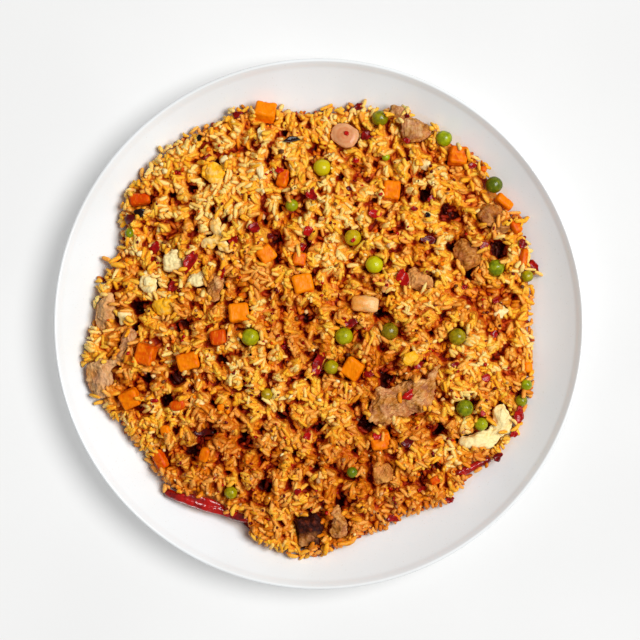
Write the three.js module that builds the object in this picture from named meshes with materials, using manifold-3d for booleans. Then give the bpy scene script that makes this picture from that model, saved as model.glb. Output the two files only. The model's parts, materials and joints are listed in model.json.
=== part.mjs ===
// Fried rice heaped on a round coupe plate, with peas, carrot dice, meat, egg, shallot and chilli.
// Millimetres, +Z up. The origin is the middle of the plate on the surface that it stands on, and
// +X is called east and +Y north, as on a map of the plate seen from above.
import * as THREE from 'three';
import { ConvexGeometry } from 'three/addons/geometries/ConvexGeometry.js';
import { mergeVertices } from 'three/addons/utils/BufferGeometryUtils.js';
import Module from 'manifold-3d';

// The plate: a flat floor that curves up into a thin rounded rim, on a foot ring.
const PLATE_RADIUS = 130;
const PLATE_HEIGHT = 24.5;
const PLATE_FLOOR_RADIUS = 88;
const PLATE_FLOOR_TOP = 7;
const PLATE_FLOOR_THICKNESS = 4;
const PLATE_LIP_DEPTH = 3.2;
const PLATE_LIP_WIDTH = 2.6;
const PLATE_LIP_ROUND = 0.9;
const PLATE_CURVE = 1.8;
const PLATE_SIDES = 44;
const PLATE_UNDERSIDE_RADII = [98, 114];
const PLATE_TOP_RADII = [121, 112, 103, 93];
const FOOT_OUTER_RADIUS = 76;
const FOOT_INNER_RADIUS = 70;
const FOOT_DRAFT = 2.4;

// The heap: a low mound with steep edges, a little off the plate's middle.
const HEAP_EAST = -2.4;
const HEAP_NORTH = -1.5;
const HEAP_RADIUS = 109;
const HEAP_PEAK = 27;
const HEAP_EDGE = 3;
const HEAP_CLEARANCE = 0.75;
const HEAP_FLATNESS = 2.4;
const HEAP_SHOULDER = 0.62;
const HEAP_RINGS = 21;
const HEAP_RING_CROWDING = 0.92;
const HEAP_UNDERSIDE_SIDES = 44;
const HEAP_TUCK = 3;
const HEAP_FLOOR_REACH = 84;

// Lobes and bays of the heap's outline: bearing in degrees from east, reach, half-width in degrees.
const HEAP_LOBES = [
  { bearing: 2, reach: -2, spread: 5 },
  { bearing: 24, reach: 3.5, spread: 10 },
  { bearing: 47, reach: 6, spread: 10 },
  { bearing: 66, reach: 5, spread: 8 },
  { bearing: 93, reach: -4, spread: 5 },
  { bearing: 106, reach: 4, spread: 7 },
  { bearing: 129, reach: 5, spread: 8 },
  { bearing: 146, reach: 5, spread: 5 },
  { bearing: 158, reach: -6, spread: 7 },
  { bearing: 191, reach: 5.5, spread: 6 },
  { bearing: 216, reach: -5, spread: 7 },
  { bearing: 245, reach: -6, spread: 6 },
  { bearing: 264, reach: 3, spread: 9 },
  { bearing: 292, reach: -6, spread: 8 },
  { bearing: 317, reach: -2.5, spread: 5 },
  { bearing: 331, reach: 2.5, spread: 8 },
];

// Relief of the heap's top: slow swells, and bumps the size of a grain of rice.
const SWELL_HEIGHT = 1.3;
const SWELL_LONG = 10;
const SWELL_SHORT = 5.6;
const GRAIN_RISE = 1.7;
const GRAIN_SINK = 1.4;
const GRAIN_JITTER = 1.0;
const GRAIN_SHIFT = 1.3;

// Room between neighbours, and the sides of the wells that the toppings sit in.
const GAP = 0.45;
const PEA_WELL_SIDES = 6;
const DICE_WELL_SIDES = 4;
const LUMP_WELL_SIDES = 8;

// Toppings lean with the mound, whose slope is taken over a short stretch.
const STEEPEST_SLOPE = 0.6;
const SLOPE_STEP = 5;

// Points this close are one, and details this small are smoothed out of a joined solid.
const WELD = 1e-4;
const SLIVER = 0.15;

// Peas: east, north, radius. They are slightly flattened, and their middles stand proud of the rice.
const PEA_WIDTH = 1.94;
const PEA_HEIGHT = 1.9;
const PEA_RISE = 0.35;
const PEA_TURN = 40;
const PEAS = [
  [1.5, 76.2, 4.4],
  [-13.2, 57.7, 3.4],
  [29.8, 100.7, 4.2],
  [61.3, 90.9, 4.2],
  [85.8, 68.2, 4.4],
  [16.4, 42.0, 4.4],
  [26.9, 28.8, 4.5],
  [12.1, -5.9, 4.5],
  [34.2, -3.4, 4.4],
  [6.0, -21.0, 3.7],
  [86.3, 27.4, 4.5],
  [102.1, 23.4, 3.1],
  [67.3, -6.1, 4.4],
  [71.1, -41.0, 4.5],
  [79.2, -49.0, 3.5],
  [99.2, -37.6, 3.2],
  [-33.5, -6.4, 4.6],
  [-25.3, -34.0, 3.1],
  [-43.2, -82.5, 3.3],
];

// Carrot dice: east, north, length, width, turn in degrees. Their height follows their shorter side.
const DICE_HEIGHT = 0.82;
const DICE_LEAST_HEIGHT = 1.2;
const DICE_BEVEL = 0.9;
const DICE_ROUGHNESS = 0.05;
const CARROTS = [
  [-26.4, 104.0, 11.0, 8.8, -12],
  [-17.6, 71.0, 5.6, 9.4, -12],
  [-87.5, 61.1, 10.6, 5.9, 8],
  [35.2, 65.0, 8.8, 10.4, -5],
  [67.8, 82.0, 9.4, 9.8, -8],
  [90.8, 59.8, 10.0, 4.9, -38],
  [-25.6, 34.0, 8.8, 8.8, 38],
  [-9.6, 31.6, 7.0, 7.4, -10],
  [-7.8, 19.6, 10.4, 9.4, 12],
  [-38.8, 5.6, 10.6, 9.8, 8],
  [-49.0, -6.4, 8.4, 7.6, 10],
  [-84.6, -14.9, 9.8, 10.6, -15],
  [-63.7, -17.9, 11.2, 8.8, 12],
  [-92.5, -36.6, 9.8, 9.2, 22],
  [16.4, -21.8, 9.6, 10.4, -34],
  [29.6, -56.4, 10.4, 9.4, 10],
  [-77.8, -66.5, 5.6, 10.6, 28],
];

// Meat: each piece is one or more lumps of east, north, length, width, height, turn in degrees.
const MEAT = [
  [[31.6, -40.2, 19, 16, 10, 70], [46.6, -34.4, 21, 18, 11, 35], [56.0, -25.0, 14, 10, 8, 40]],
  [[-105.4, -25.0, 12.4, 23.0, 8, -14], [-96.0, -13.0, 9.0, 16.0, 8, -30]],
  [[-104.0, 7.4, 8.6, 14.4, 7, 4]],
  [[-50.8, 18.2, 8.6, 14.6, 8, -10]],
  [[47.2, 94.6, 16.0, 13.2, 9, -20]],
  [[84.0, 52.4, 12.6, 11.0, 8, 20]],
  [[71.6, 33.6, 15.4, 15.0, 10, 40]],
  [[49.4, 21.6, 14.4, 11.4, 8, -25]],
  [[-5.6, -100.6, 14.2, 16.0, 9, 6]],
  [[8.8, -96.6, 9.0, 16.0, 8, 12]],
  [[31.4, -73.2, 9.6, 10.8, 8, 0]],
];

// Egg: lumps as for the meat.
const EGG = [
  [[-49.4, 46.4, 14, 6, 5, 105], [-52.6, 40.0, 10.5, 6, 5, 12], [-46.4, 38.2, 11, 5, 5, -38]],
  [[-51.8, 74.0, 12.4, 10.6, 6, -35]],
  [[-70.9, 30.6, 9.4, 10.6, 6, 10]],
  [[-59.6, 21.8, 7.6, 7.0, 5, 15]],
  [[-83.1, 19.8, 7.8, 12.4, 6, 12]],
  [[-75.4, 8.2, 11.0, 9.4, 6, 20]],
  [[89.2, -46.4, 8.4, 16.0, 6, -6], [79.4, -56.6, 22.0, 7.6, 6, 8]],
];

// Shallot slices: lumps as for the meat.
const SHALLOT = [
  [[12.7, 92.4, 14.4, 12.4, 5, -30]],
  [[22.2, 9.6, 13.4, 8.0, 6, -4]],
];

// Chilli strips: the beads that each strip runs through, east and north, with its width.
const CHILLI_WIDTH = 4.6;
const CHILLI_HEIGHT = 3.4;
const CHILLI_RISE = 0.7;
const CHILLI_STRIPS = [
  [[-74.2, -83.0], [-65.3, -86.6], [-55.4, -90.0], [-46.4, -92.6], [-36.4, -95.4]],
  [[68.0, -73.4], [75.0, -70.4], [82.4, -67.0]],
];

// Small toppings stuck in the rice, which are part of the heap: east, north, length, width, turn.
const CRUMBS = [
  [-101.4, 30.0, 12.0, 5.6, -16],
  [3.6, 106.6, 9.0, 3.8, 25],
  [3.4, -110.4, 3.6, 7.0, -10],
  [15.4, -106.6, 7.6, 4.0, 40],
  [97.3, 46.0, 4.9, 6.6, 20],
  [-68.6, -39.6, 7.0, 5.6, 15],
  [-55.9, -63.8, 4.9, 7.4, -15],
  [16.1, -72.2, 5.4, 5.4, 0],
  [92.4, -65.4, 4.6, 5.4, 30],
  [98.4, -47.8, 4.2, 7.4, -25],
  [-5.4, 45.4, 5.9, 4.9, 0],
  [-80.6, 36.7, 5.6, 5.8, 30],
  [-61.8, 31.8, 4.4, 8.4, 25],
  [-90.6, 52.6, 8.6, 5.0, 15],
  [-40.2, 102.0, 6.4, 3.9, -8],
  [19.1, 105.6, 5.9, 3.9, 20],
  [24.4, 89.6, 5.4, 5.0, 20],
  [-30.8, 46.9, 5.6, 5.6, 40],
  [26.7, 53.5, 6.8, 3.9, -20],
  [53.4, 43.6, 9.6, 4.4, -8],
  [84.9, -5.2, 4.2, 7.0, 5],
  [36.4, -93.4, 6.8, 3.8, -15],
  [-3.9, 62.7, 5.0, 6.8, -35],
  [88.9, 5.6, 6.8, 5.6, 30],
  [44.2, -16.0, 7.4, 6.0, 25],
];
const CRUMB_HEIGHT = 3.8;
const CRUMB_RISE = 0.9;
const CRUMB_ROUGHNESS = 0.1;

const wasm = await Module();
wasm.setup();

const radians = THREE.MathUtils.degToRad;

// A repeatable draw between -1 and 1.
function seededDraw(seed) {
  let state = seed;
  return () => {
    state = (state + 0x6d2b79f5) | 0;
    let mixed = Math.imul(state ^ (state >>> 15), 1 | state);
    mixed = (mixed + Math.imul(mixed ^ (mixed >>> 7), 61 | mixed)) ^ mixed;
    return ((mixed ^ (mixed >>> 14)) >>> 0) / 2 ** 31 - 1;
  };
}

// The same surface with only positions, and one vertex at each point.
function weld(geometry) {
  const bare = new THREE.BufferGeometry().setAttribute('position', geometry.getAttribute('position'));
  bare.setIndex(geometry.getIndex());
  return mergeVertices(bare, WELD);
}

function solidOf(geometry) {
  const welded = weld(geometry);
  return new wasm.Manifold(
    new wasm.Mesh({
      numProp: 3,
      vertProperties: welded.getAttribute('position').array,
      triVerts: new Uint32Array(welded.getIndex().array),
    }),
  );
}

function geometryOf(solid) {
  const { vertProperties, triVerts } = solid.getMesh();
  const geometry = new THREE.BufferGeometry();
  geometry.setAttribute('position', new THREE.BufferAttribute(vertProperties, 3));
  geometry.setIndex(new THREE.BufferAttribute(triVerts, 1));
  geometry.computeVertexNormals();
  return geometry;
}

function pointsOf(geometry) {
  const positions = geometry.getAttribute('position');
  return Array.from({ length: positions.count }, (_, i) =>
    new THREE.Vector3().fromBufferAttribute(positions, i),
  );
}

// How far the plate's curve has risen above its floor at a distance from the middle.
function plateRise(radius) {
  const along = Math.max(0, (radius - PLATE_FLOOR_RADIUS) / (PLATE_RADIUS - PLATE_FLOOR_RADIUS));
  return (PLATE_HEIGHT - PLATE_FLOOR_TOP) * along ** PLATE_CURVE;
}

const plateTop = (radius) => PLATE_FLOOR_TOP + plateRise(radius);

// The plate's section, from under its middle round the rim and back along its top.
function plateGeometry() {
  const underside = PLATE_FLOOR_TOP - PLATE_FLOOR_THICKNESS;
  const section = [
    [0, underside],
    [FOOT_INNER_RADIUS - FOOT_DRAFT, underside],
    [FOOT_INNER_RADIUS, 0],
    [FOOT_OUTER_RADIUS, 0],
    [FOOT_OUTER_RADIUS + FOOT_DRAFT, underside],
  ];
  for (const radius of PLATE_UNDERSIDE_RADII) {
    section.push([radius, underside + plateRise(radius)]);
  }
  section.push([PLATE_RADIUS - PLATE_LIP_ROUND / 2, PLATE_HEIGHT - PLATE_LIP_DEPTH]);
  section.push([PLATE_RADIUS, PLATE_HEIGHT - PLATE_LIP_ROUND]);
  section.push([PLATE_RADIUS - PLATE_LIP_ROUND, PLATE_HEIGHT]);
  section.push([PLATE_RADIUS - PLATE_LIP_WIDTH, PLATE_HEIGHT - PLATE_LIP_ROUND]);
  for (const radius of PLATE_TOP_RADII) {
    section.push([radius, plateTop(radius)]);
  }
  section.push([0, PLATE_FLOOR_TOP]);
  const points = section.map(([radius, height]) => new THREE.Vector2(radius, height));
  return new THREE.LatheGeometry(points, PLATE_SIDES).rotateX(Math.PI / 2);
}

// The heap's reach from its own middle at a bearing in radians.
function heapReach(bearing) {
  return HEAP_LOBES.reduce((reach, lobe) => {
    const away = radians(lobe.bearing) - bearing;
    const offset = Math.atan2(Math.sin(away), Math.cos(away)) / radians(lobe.spread);
    return reach + lobe.reach * Math.exp(-0.5 * offset ** 2);
  }, HEAP_RADIUS);
}

function swell(east, north) {
  const slow = Math.sin(east / SWELL_LONG + 1.3) * Math.cos(north / SWELL_LONG - 0.7);
  const quick = Math.sin((east + north) / SWELL_SHORT) * Math.cos((east - north) / SWELL_SHORT);
  return SWELL_HEIGHT * (slow + 0.6 * quick);
}

// Height of the heap's even surface, without the bumps of its grains.
function moundTop(east, north) {
  const dx = east - HEAP_EAST;
  const dy = north - HEAP_NORTH;
  const outwards = Math.min(1, Math.hypot(dx, dy) / heapReach(Math.atan2(dy, dx)));
  const dome = (1 - outwards ** HEAP_FLATNESS) ** HEAP_SHOULDER;
  const base = plateTop(Math.hypot(east, north)) + HEAP_CLEARANCE + HEAP_EDGE;
  return base + (HEAP_PEAK - HEAP_EDGE) * dome + swell(east, north) * dome;
}

// Crest, gap or slope: which of the three a point of a six-sided grid is, so bumps lie a grain apart.
function grainTurn(ring, step) {
  const side = Math.floor(step / Math.max(1, ring));
  const sidesBefore = Math.ceil(side / 2) + 2 * Math.floor(side / 2);
  const along = (step - side * ring) * (side % 2 ? 2 : 1);
  return (ring + ring * sidesBefore + along) % 3;
}

// One ring of the heap's top.
function heapRing(ring, draw) {
  const outwards = (ring / HEAP_RINGS) ** HEAP_RING_CROWDING;
  const inside = ring < HEAP_RINGS;
  return Array.from({ length: Math.max(1, 6 * ring) }, (_, step) => {
    const bearing = ring ? (2 * Math.PI * step) / (6 * ring) : 0;
    const reach = heapReach(bearing) * outwards;
    const shift = inside ? GRAIN_SHIFT : GRAIN_SHIFT / 2;
    const east = HEAP_EAST + reach * Math.cos(bearing) + shift * draw();
    const north = HEAP_NORTH + reach * Math.sin(bearing) + shift * draw();
    const bump = [GRAIN_RISE, -GRAIN_SINK, 0][grainTurn(ring, step)] + GRAIN_JITTER * draw();
    const top = moundTop(east, north) + (inside ? bump : -HEAP_EDGE / 2);
    return new THREE.Vector3(east, north, top);
  });
}

// One ring of the heap's underside, which follows the plate.
function undersideRing(reachAt) {
  return Array.from({ length: HEAP_UNDERSIDE_SIDES }, (_, step) => {
    const bearing = (2 * Math.PI * step) / HEAP_UNDERSIDE_SIDES;
    const reach = reachAt(bearing);
    const east = HEAP_EAST + reach * Math.cos(bearing);
    const north = HEAP_NORTH + reach * Math.sin(bearing);
    return new THREE.Vector3(east, north, plateTop(Math.hypot(east, north)) + HEAP_CLEARANCE);
  });
}

// Triangles between two closed rings, each step taken on the ring that lags behind.
function stitch(outer, inner) {
  const faces = [];
  let a = 0;
  let b = 0;
  while (a < outer.length || b < inner.length) {
    const here = outer[a % outer.length];
    const there = inner[b % inner.length];
    if (b >= inner.length || (a < outer.length && (a + 0.5) * inner.length <= (b + 0.5) * outer.length)) {
      faces.push(here, outer[(a + 1) % outer.length], there);
      a += 1;
    } else {
      faces.push(here, inner[(b + 1) % inner.length], there);
      b += 1;
    }
  }
  return faces;
}

function fan(ring, tip) {
  return ring.flatMap((point, i) => [point, ring[(i + 1) % ring.length], tip]);
}

// The rice before its wells are cut.
function bareHeapGeometry() {
  const draw = seededDraw(11);
  const rings = Array.from({ length: HEAP_RINGS + 1 }, (_, ring) => heapRing(ring, draw));
  const faces = fan(rings[1], rings[0][0]);
  for (let ring = 2; ring <= HEAP_RINGS; ring += 1) {
    faces.push(...stitch(rings[ring], rings[ring - 1]));
  }
  const tuckedIn = undersideRing((bearing) => heapReach(bearing) - HEAP_TUCK);
  const floorEdge = undersideRing(() => HEAP_FLOOR_REACH);
  const middle = new THREE.Vector3(HEAP_EAST, HEAP_NORTH, PLATE_FLOOR_TOP + HEAP_CLEARANCE);
  const underneath = [
    ...stitch(rings[HEAP_RINGS], tuckedIn),
    ...stitch(tuckedIn, floorEdge),
    ...fan(floorEdge, middle),
  ];
  faces.push(...underneath.reverse());
  return new THREE.BufferGeometry().setFromPoints(faces);
}

// A sphere stretched to size, squared off where squareness is below 1, and roughened.
function lumpGeometry({ length, width, height, squareness = 1, roughness = 0, detail = 1, seed = 1 }) {
  const draw = seededDraw(seed);
  const geometry = weld(new THREE.IcosahedronGeometry(1, detail));
  const positions = geometry.getAttribute('position');
  const stretched = (part, size) => (Math.sign(part) * Math.abs(part) ** squareness * size) / 2;
  pointsOf(geometry).forEach((point, i) => {
    const swollen = 1 + roughness * draw();
    positions.setXYZ(
      i,
      stretched(point.x, length) * swollen,
      stretched(point.y, width) * swollen,
      stretched(point.z, height) * swollen,
    );
  });
  return geometry;
}

// A block with its edges and corners cut off, and its corners a little uneven.
function diceGeometry({ length, width, height, bevel, roughness, seed }) {
  const draw = seededDraw(seed);
  const points = [];
  for (let corner = 0; corner < 8; corner += 1) {
    const sides = [corner & 1, corner & 2, corner & 4].map((bit) => (bit ? 0.5 : -0.5));
    const reach = [length, width, height].map((size, axis) => {
      return sides[axis] * size * (1 + roughness * (draw() - 1));
    });
    for (let proud = 0; proud < 3; proud += 1) {
      const cut = reach.map((value, axis) => (axis === proud ? value : value - 2 * sides[axis] * bevel));
      points.push(new THREE.Vector3(...cut));
    }
  }
  return new ConvexGeometry(points);
}

// Where a topping lies: on the mound, leaning with it, turned, and raised or sunk by a given height.
function settle(east, north, turn = 0, rise = 0) {
  const slope = new THREE.Vector2(
    moundTop(east + SLOPE_STEP, north) - moundTop(east - SLOPE_STEP, north),
    moundTop(east, north + SLOPE_STEP) - moundTop(east, north - SLOPE_STEP),
  );
  slope.divideScalar(2 * SLOPE_STEP).clampLength(0, STEEPEST_SLOPE);
  const up = new THREE.Vector3(0, 0, 1);
  const lean = new THREE.Quaternion().setFromUnitVectors(
    up,
    new THREE.Vector3(-slope.x, -slope.y, 1).normalize(),
  );
  lean.multiply(new THREE.Quaternion().setFromAxisAngle(up, radians(turn)));
  const place = new THREE.Vector3(east, north, moundTop(east, north) + rise);
  return new THREE.Matrix4().compose(place, lean, new THREE.Vector3(1, 1, 1));
}

// The room that a shape needs in the rice: a prism square to its place, whose sides all clear it.
function wellAround(geometry, place, sides) {
  const points = pointsOf(geometry);
  const turn = (2 * Math.PI) / sides;
  const facing = Array.from({ length: sides }, (_, side) => {
    return new THREE.Vector3(Math.cos(side * turn), Math.sin(side * turn), 0);
  });
  const reach = facing.map((out) => Math.max(...points.map((point) => point.dot(out))) + GAP);
  const bottom = Math.min(...points.map((point) => point.z)) - GAP;
  const top = Math.max(...points.map((point) => point.z)) + GAP;
  const corners = facing.flatMap((out, side) => {
    const next = reach[(side + 1) % sides];
    const along = (next - reach[side] * Math.cos(turn)) / Math.sin(turn);
    const corner = out.clone().multiplyScalar(reach[side]);
    corner.add(new THREE.Vector3(-out.y, out.x, 0).multiplyScalar(along));
    return [corner.clone().setZ(bottom), corner.clone().setZ(top)];
  });
  return solidOf(new ConvexGeometry(corners).applyMatrix4(place));
}

// A topping made of lumps that are joined, with the wells that they need.
function lumpyTopping(name, material, lumps) {
  const shapes = lumps.map(lumpGeometry);
  const places = lumps.map(({ east, north, turn, rise }) => settle(east, north, turn, rise));
  const home = places[0];
  const toHome = home.clone().invert();
  const joined = shapes.map((shape, i) => {
    return solidOf(shape.clone().applyMatrix4(toHome.clone().multiply(places[i])));
  });
  const whole = geometryOf(wasm.Manifold.union(joined).simplify(SLIVER));
  return {
    mesh: placed(name, whole, material, home),
    wells: shapes.map((shape, i) => wellAround(shape, places[i], LUMP_WELL_SIDES)),
  };
}

// A named mesh at its place.
function placed(name, geometry, material, place) {
  geometry.computeVertexNormals();
  const mesh = new THREE.Mesh(geometry, material);
  mesh.name = name;
  place.decompose(mesh.position, mesh.quaternion, mesh.scale);
  return mesh;
}

const numbered = (name, index) => `${name}_${String(index + 1).padStart(2, '0')}`;

const plain = (color, roughness) => new THREE.MeshStandardMaterial({ color, roughness, metalness: 0 });

function pea([east, north, radius], index) {
  const size = { length: 2 * radius, width: PEA_WIDTH * radius, height: PEA_HEIGHT * radius };
  const place = settle(east, north, PEA_TURN * index, PEA_RISE * radius);
  const geometry = lumpGeometry({ ...size, roughness: 0.015, seed: 100 + index });
  const mesh = placed(numbered('pea', index), geometry, plain(0x9fb51c, 0.35), place);
  return { mesh, wells: [wellAround(geometry, place, PEA_WELL_SIDES)] };
}

function carrot([east, north, length, width, turn], index) {
  const height = DICE_HEIGHT * Math.min(length, width) + DICE_LEAST_HEIGHT;
  const place = settle(east, north, turn);
  const edges = { bevel: DICE_BEVEL, roughness: DICE_ROUGHNESS };
  const geometry = diceGeometry({ length, width, height, ...edges, seed: 200 + index });
  const mesh = placed(numbered('carrot_dice', index), geometry, plain(0xff8412, 0.4), place);
  return { mesh, wells: [wellAround(geometry, place, DICE_WELL_SIDES)] };
}

// The lumps of one piece of meat, egg or shallot, from its rows.
function lumpsOf(rows, seed, surface) {
  return rows.map(([east, north, length, width, height, turn], i) => {
    return { east, north, length, width, height, turn, seed: seed + 10 * i, ...surface };
  });
}

function meat(rows, index) {
  const lumps = lumpsOf(rows, 300 + index, { squareness: 0.8, roughness: 0.1, rise: 0 });
  return lumpyTopping(numbered('meat', index), plain(0xa87a4c, 0.55), lumps);
}

function egg(rows, index) {
  const lumps = lumpsOf(rows, 400 + index, { squareness: 0.9, roughness: 0.12, rise: 0.4 });
  return lumpyTopping(numbered('egg', index), plain(0xf6dc8c, 0.5), lumps);
}

function shallot(rows, index) {
  const lumps = lumpsOf(rows, 500 + index, { squareness: 0.85, roughness: 0.05, rise: 0.8 });
  return lumpyTopping(numbered('shallot', index), plain(0xd29c78, 0.35), lumps);
}

// One link of a chilli strip, in its own place: the hull of the beads at its two ends.
function chilliLink([from, to]) {
  const bearing = THREE.MathUtils.radToDeg(Math.atan2(to[1] - from[1], to[0] - from[0]));
  const place = settle((from[0] + to[0]) / 2, (from[1] + to[1]) / 2, bearing, CHILLI_RISE);
  const toPlace = place.clone().invert();
  const size = { length: CHILLI_WIDTH, width: CHILLI_WIDTH, height: CHILLI_HEIGHT };
  const points = [from, to].flatMap((bead) => {
    const settled = toPlace.clone().multiply(settle(...bead, 0, CHILLI_RISE));
    return pointsOf(lumpGeometry({ ...size, detail: 0 }).applyMatrix4(settled));
  });
  return { place, geometry: new ConvexGeometry(points) };
}

// A strip of chilli: links joined end to end.
function chilli(beads, index) {
  const links = beads.slice(1).map((bead, i) => chilliLink([beads[i], bead]));
  const home = links[0].place;
  const joined = links.map(({ place, geometry }) => {
    return solidOf(geometry.clone().applyMatrix4(home.clone().invert().multiply(place)));
  });
  const strip = geometryOf(wasm.Manifold.union(joined).simplify(SLIVER));
  return {
    mesh: placed(numbered('chilli_strip', index), strip, plain(0x9c0e12, 0.25), home),
    wells: links.map(({ place, geometry }) => wellAround(geometry, place, DICE_WELL_SIDES)),
  };
}

// A small topping that stays part of the heap.
function crumb([east, north, length, width, turn], index) {
  const size = { length, width, height: CRUMB_HEIGHT };
  const shape = lumpGeometry({ ...size, roughness: CRUMB_ROUGHNESS, detail: 0, seed: 600 + index });
  return solidOf(shape.applyMatrix4(settle(east, north, turn, CRUMB_RISE)));
}

function riceHeap(wells) {
  const cut = solidOf(bareHeapGeometry()).subtract(wasm.Manifold.union(wells));
  const whole = wasm.Manifold.union([cut, ...CRUMBS.map(crumb)]);
  const [largest] = whole.simplify(SLIVER).decompose().sort((a, b) => b.volume() - a.volume());
  return placed('rice_heap', geometryOf(largest), plain(0xe0952f, 0.5), new THREE.Matrix4());
}

function plate() {
  return placed('plate', plateGeometry(), plain(0xf3eee7, 0.15), new THREE.Matrix4());
}

const toppings = [
  ...PEAS.map(pea),
  ...CARROTS.map(carrot),
  ...MEAT.map(meat),
  ...EGG.map(egg),
  ...SHALLOT.map(shallot),
  ...CHILLI_STRIPS.map(chilli),
];

const group = new THREE.Group();
group.add(plate());
group.add(riceHeap(toppings.flatMap(({ wells }) => wells)));
group.add(...toppings.map(({ mesh }) => mesh));

export default group;
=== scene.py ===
import json
import math

import bmesh
import bpy
import numpy as np
from mathutils import Matrix, Vector

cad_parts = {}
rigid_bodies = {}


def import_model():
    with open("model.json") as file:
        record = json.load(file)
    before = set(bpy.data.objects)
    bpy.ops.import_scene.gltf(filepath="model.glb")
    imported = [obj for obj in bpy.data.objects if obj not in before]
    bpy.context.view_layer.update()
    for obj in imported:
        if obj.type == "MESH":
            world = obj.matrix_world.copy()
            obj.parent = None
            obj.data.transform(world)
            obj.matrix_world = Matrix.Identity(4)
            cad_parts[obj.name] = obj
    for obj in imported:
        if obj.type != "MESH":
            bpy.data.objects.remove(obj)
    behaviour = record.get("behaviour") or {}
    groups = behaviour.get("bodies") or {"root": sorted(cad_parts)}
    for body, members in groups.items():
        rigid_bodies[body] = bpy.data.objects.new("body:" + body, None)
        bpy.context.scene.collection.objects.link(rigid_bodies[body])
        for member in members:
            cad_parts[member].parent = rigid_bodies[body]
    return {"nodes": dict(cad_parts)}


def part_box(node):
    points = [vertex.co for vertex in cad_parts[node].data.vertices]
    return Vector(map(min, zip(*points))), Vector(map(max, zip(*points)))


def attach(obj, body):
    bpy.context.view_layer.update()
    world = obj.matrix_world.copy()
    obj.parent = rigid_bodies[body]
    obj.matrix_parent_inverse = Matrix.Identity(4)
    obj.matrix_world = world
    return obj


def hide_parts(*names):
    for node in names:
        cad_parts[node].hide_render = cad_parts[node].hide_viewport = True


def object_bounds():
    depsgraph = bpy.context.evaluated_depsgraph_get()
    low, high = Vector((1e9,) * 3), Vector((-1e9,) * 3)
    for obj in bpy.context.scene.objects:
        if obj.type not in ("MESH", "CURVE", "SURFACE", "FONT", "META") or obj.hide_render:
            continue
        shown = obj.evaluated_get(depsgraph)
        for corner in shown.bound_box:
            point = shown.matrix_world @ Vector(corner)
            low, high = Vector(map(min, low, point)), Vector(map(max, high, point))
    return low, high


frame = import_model()
cad_low, cad_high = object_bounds()

# Lengths are in millimetres until a mesh is built. East is +X and north +Y, seen from above.
MM = 0.001
# Nothing reaches above the part's own top.
TOP = cad_high.z / MM - 0.05

# The plate, as in the part's source.
PLATE_RADIUS = 130.0
PLATE_HEIGHT = 24.5
PLATE_FLOOR_RADIUS = 88.0
PLATE_FLOOR_TOP = 7.0
PLATE_FLOOR_THICKNESS = 4.0
PLATE_CURVE = 1.8
PLATE_LIP_ROUND = 1.05
PLATE_LIP_THICKNESS = 2.4
FOOT_OUTER_RADIUS = 76.0
FOOT_INNER_RADIUS = 70.0
PLATE_SIDES = 240

# The heap, as in the part's source.
HEAP_EAST = -2.4
HEAP_NORTH = -1.5
HEAP_RADIUS = 109.0
HEAP_PEAK = 27.0
HEAP_EDGE = 3.0
HEAP_CLEARANCE = 0.75
HEAP_FLATNESS = 2.4
HEAP_SHOULDER = 0.62
SWELL_HEIGHT = 1.3
SWELL_LONG = 10.0
SWELL_SHORT = 5.6
STEEPEST_SLOPE = 0.6
SLOPE_STEP = 5.0

# Lobes and bays of the heap's outline: bearing in degrees from east, reach, half-width in degrees.
HEAP_LOBES = [
    (2, -2, 5), (24, 3.5, 10), (47, 6, 10), (66, 5, 8), (93, -4, 5), (106, 4, 7), (129, 5, 8), (146, 5, 5),
    (158, -6, 7), (191, 5.5, 6), (216, -5, 7), (245, -6, 6), (264, 3, 9), (292, -6, 8), (317, -2.5, 5),
    (331, 2.5, 8),
]

# The rice: a core under loose grains, in clumps of small lumps.
CORE_DEPTH = 1.8
CORE_TUCK = 2.8
CORE_ROWS = 296
CLUMP_WIDTH = 8.8
CLUMP_SHOULDER = 2.2
CLUMP_HEIGHT = 5.8
CLUMP_LEVEL = 0.72
CREVICE = 0.34
LUMP_WIDTH = 6.4
LUMP_SHOULDER = 1.3
LUMP_HEIGHT = 2.4
LUMP_LEVEL = 0.75
LUMP_STEP = 0.8
LUMP_SPREAD = 0.8
CREASE = 0.5
HOLLOW_DROP = 8.5
OPEN_HOLLOW = 0.22
PACKING_DEPTH = 0.75

# The grains: their sizes and how they come to rest.
GRAIN_LENGTH = (4.6, 7.0)
GRAIN_WIDTH = (1.8, 2.5)
BROKEN_LENGTH = (2.8, 4.4)
BROKEN_SHARE = 0.34
GRAIN_LIMIT = 3.4
GRAIN_LEAN = 0.34
GRAIN_HALF = 0.43
GRAIN_SIDES = 8
STEEPEST_GRAIN = 1.1
BELT_GRAINS = 2600
BELT_WIDTH = 0.085
STRAY_SIZE = (7.2, 2.7)

# The unevenness of the copied forms repeats about every so many millimetres.
UNEVEN_EVERY = 2.2

# Painted shade: rice and toppings are darkest so many millimetres below the evened-out rice, and darker in
# the hollows.
DARK_BELOW = 4.2
TOPPING_DARK_BELOW = 4.0
HOLLOW_SHADE = 0.45
DARKEST_SHADE = 0.65

# The flats of torn meat, the knobs of egg, and how far the film of oil reaches past the heap.
POINTS_PER_FLAT = 180
KNOB_TRIES = 900
OIL_REACH = 5.0

# The grid of heights that the grains fall on. A topping covers a place where its top reaches the rice's even
# top, or is less than a margin below it.
CELL = 0.5
SPAN = 126.0
COVER_MARGIN = 1.5
FAR = 1e3
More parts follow.
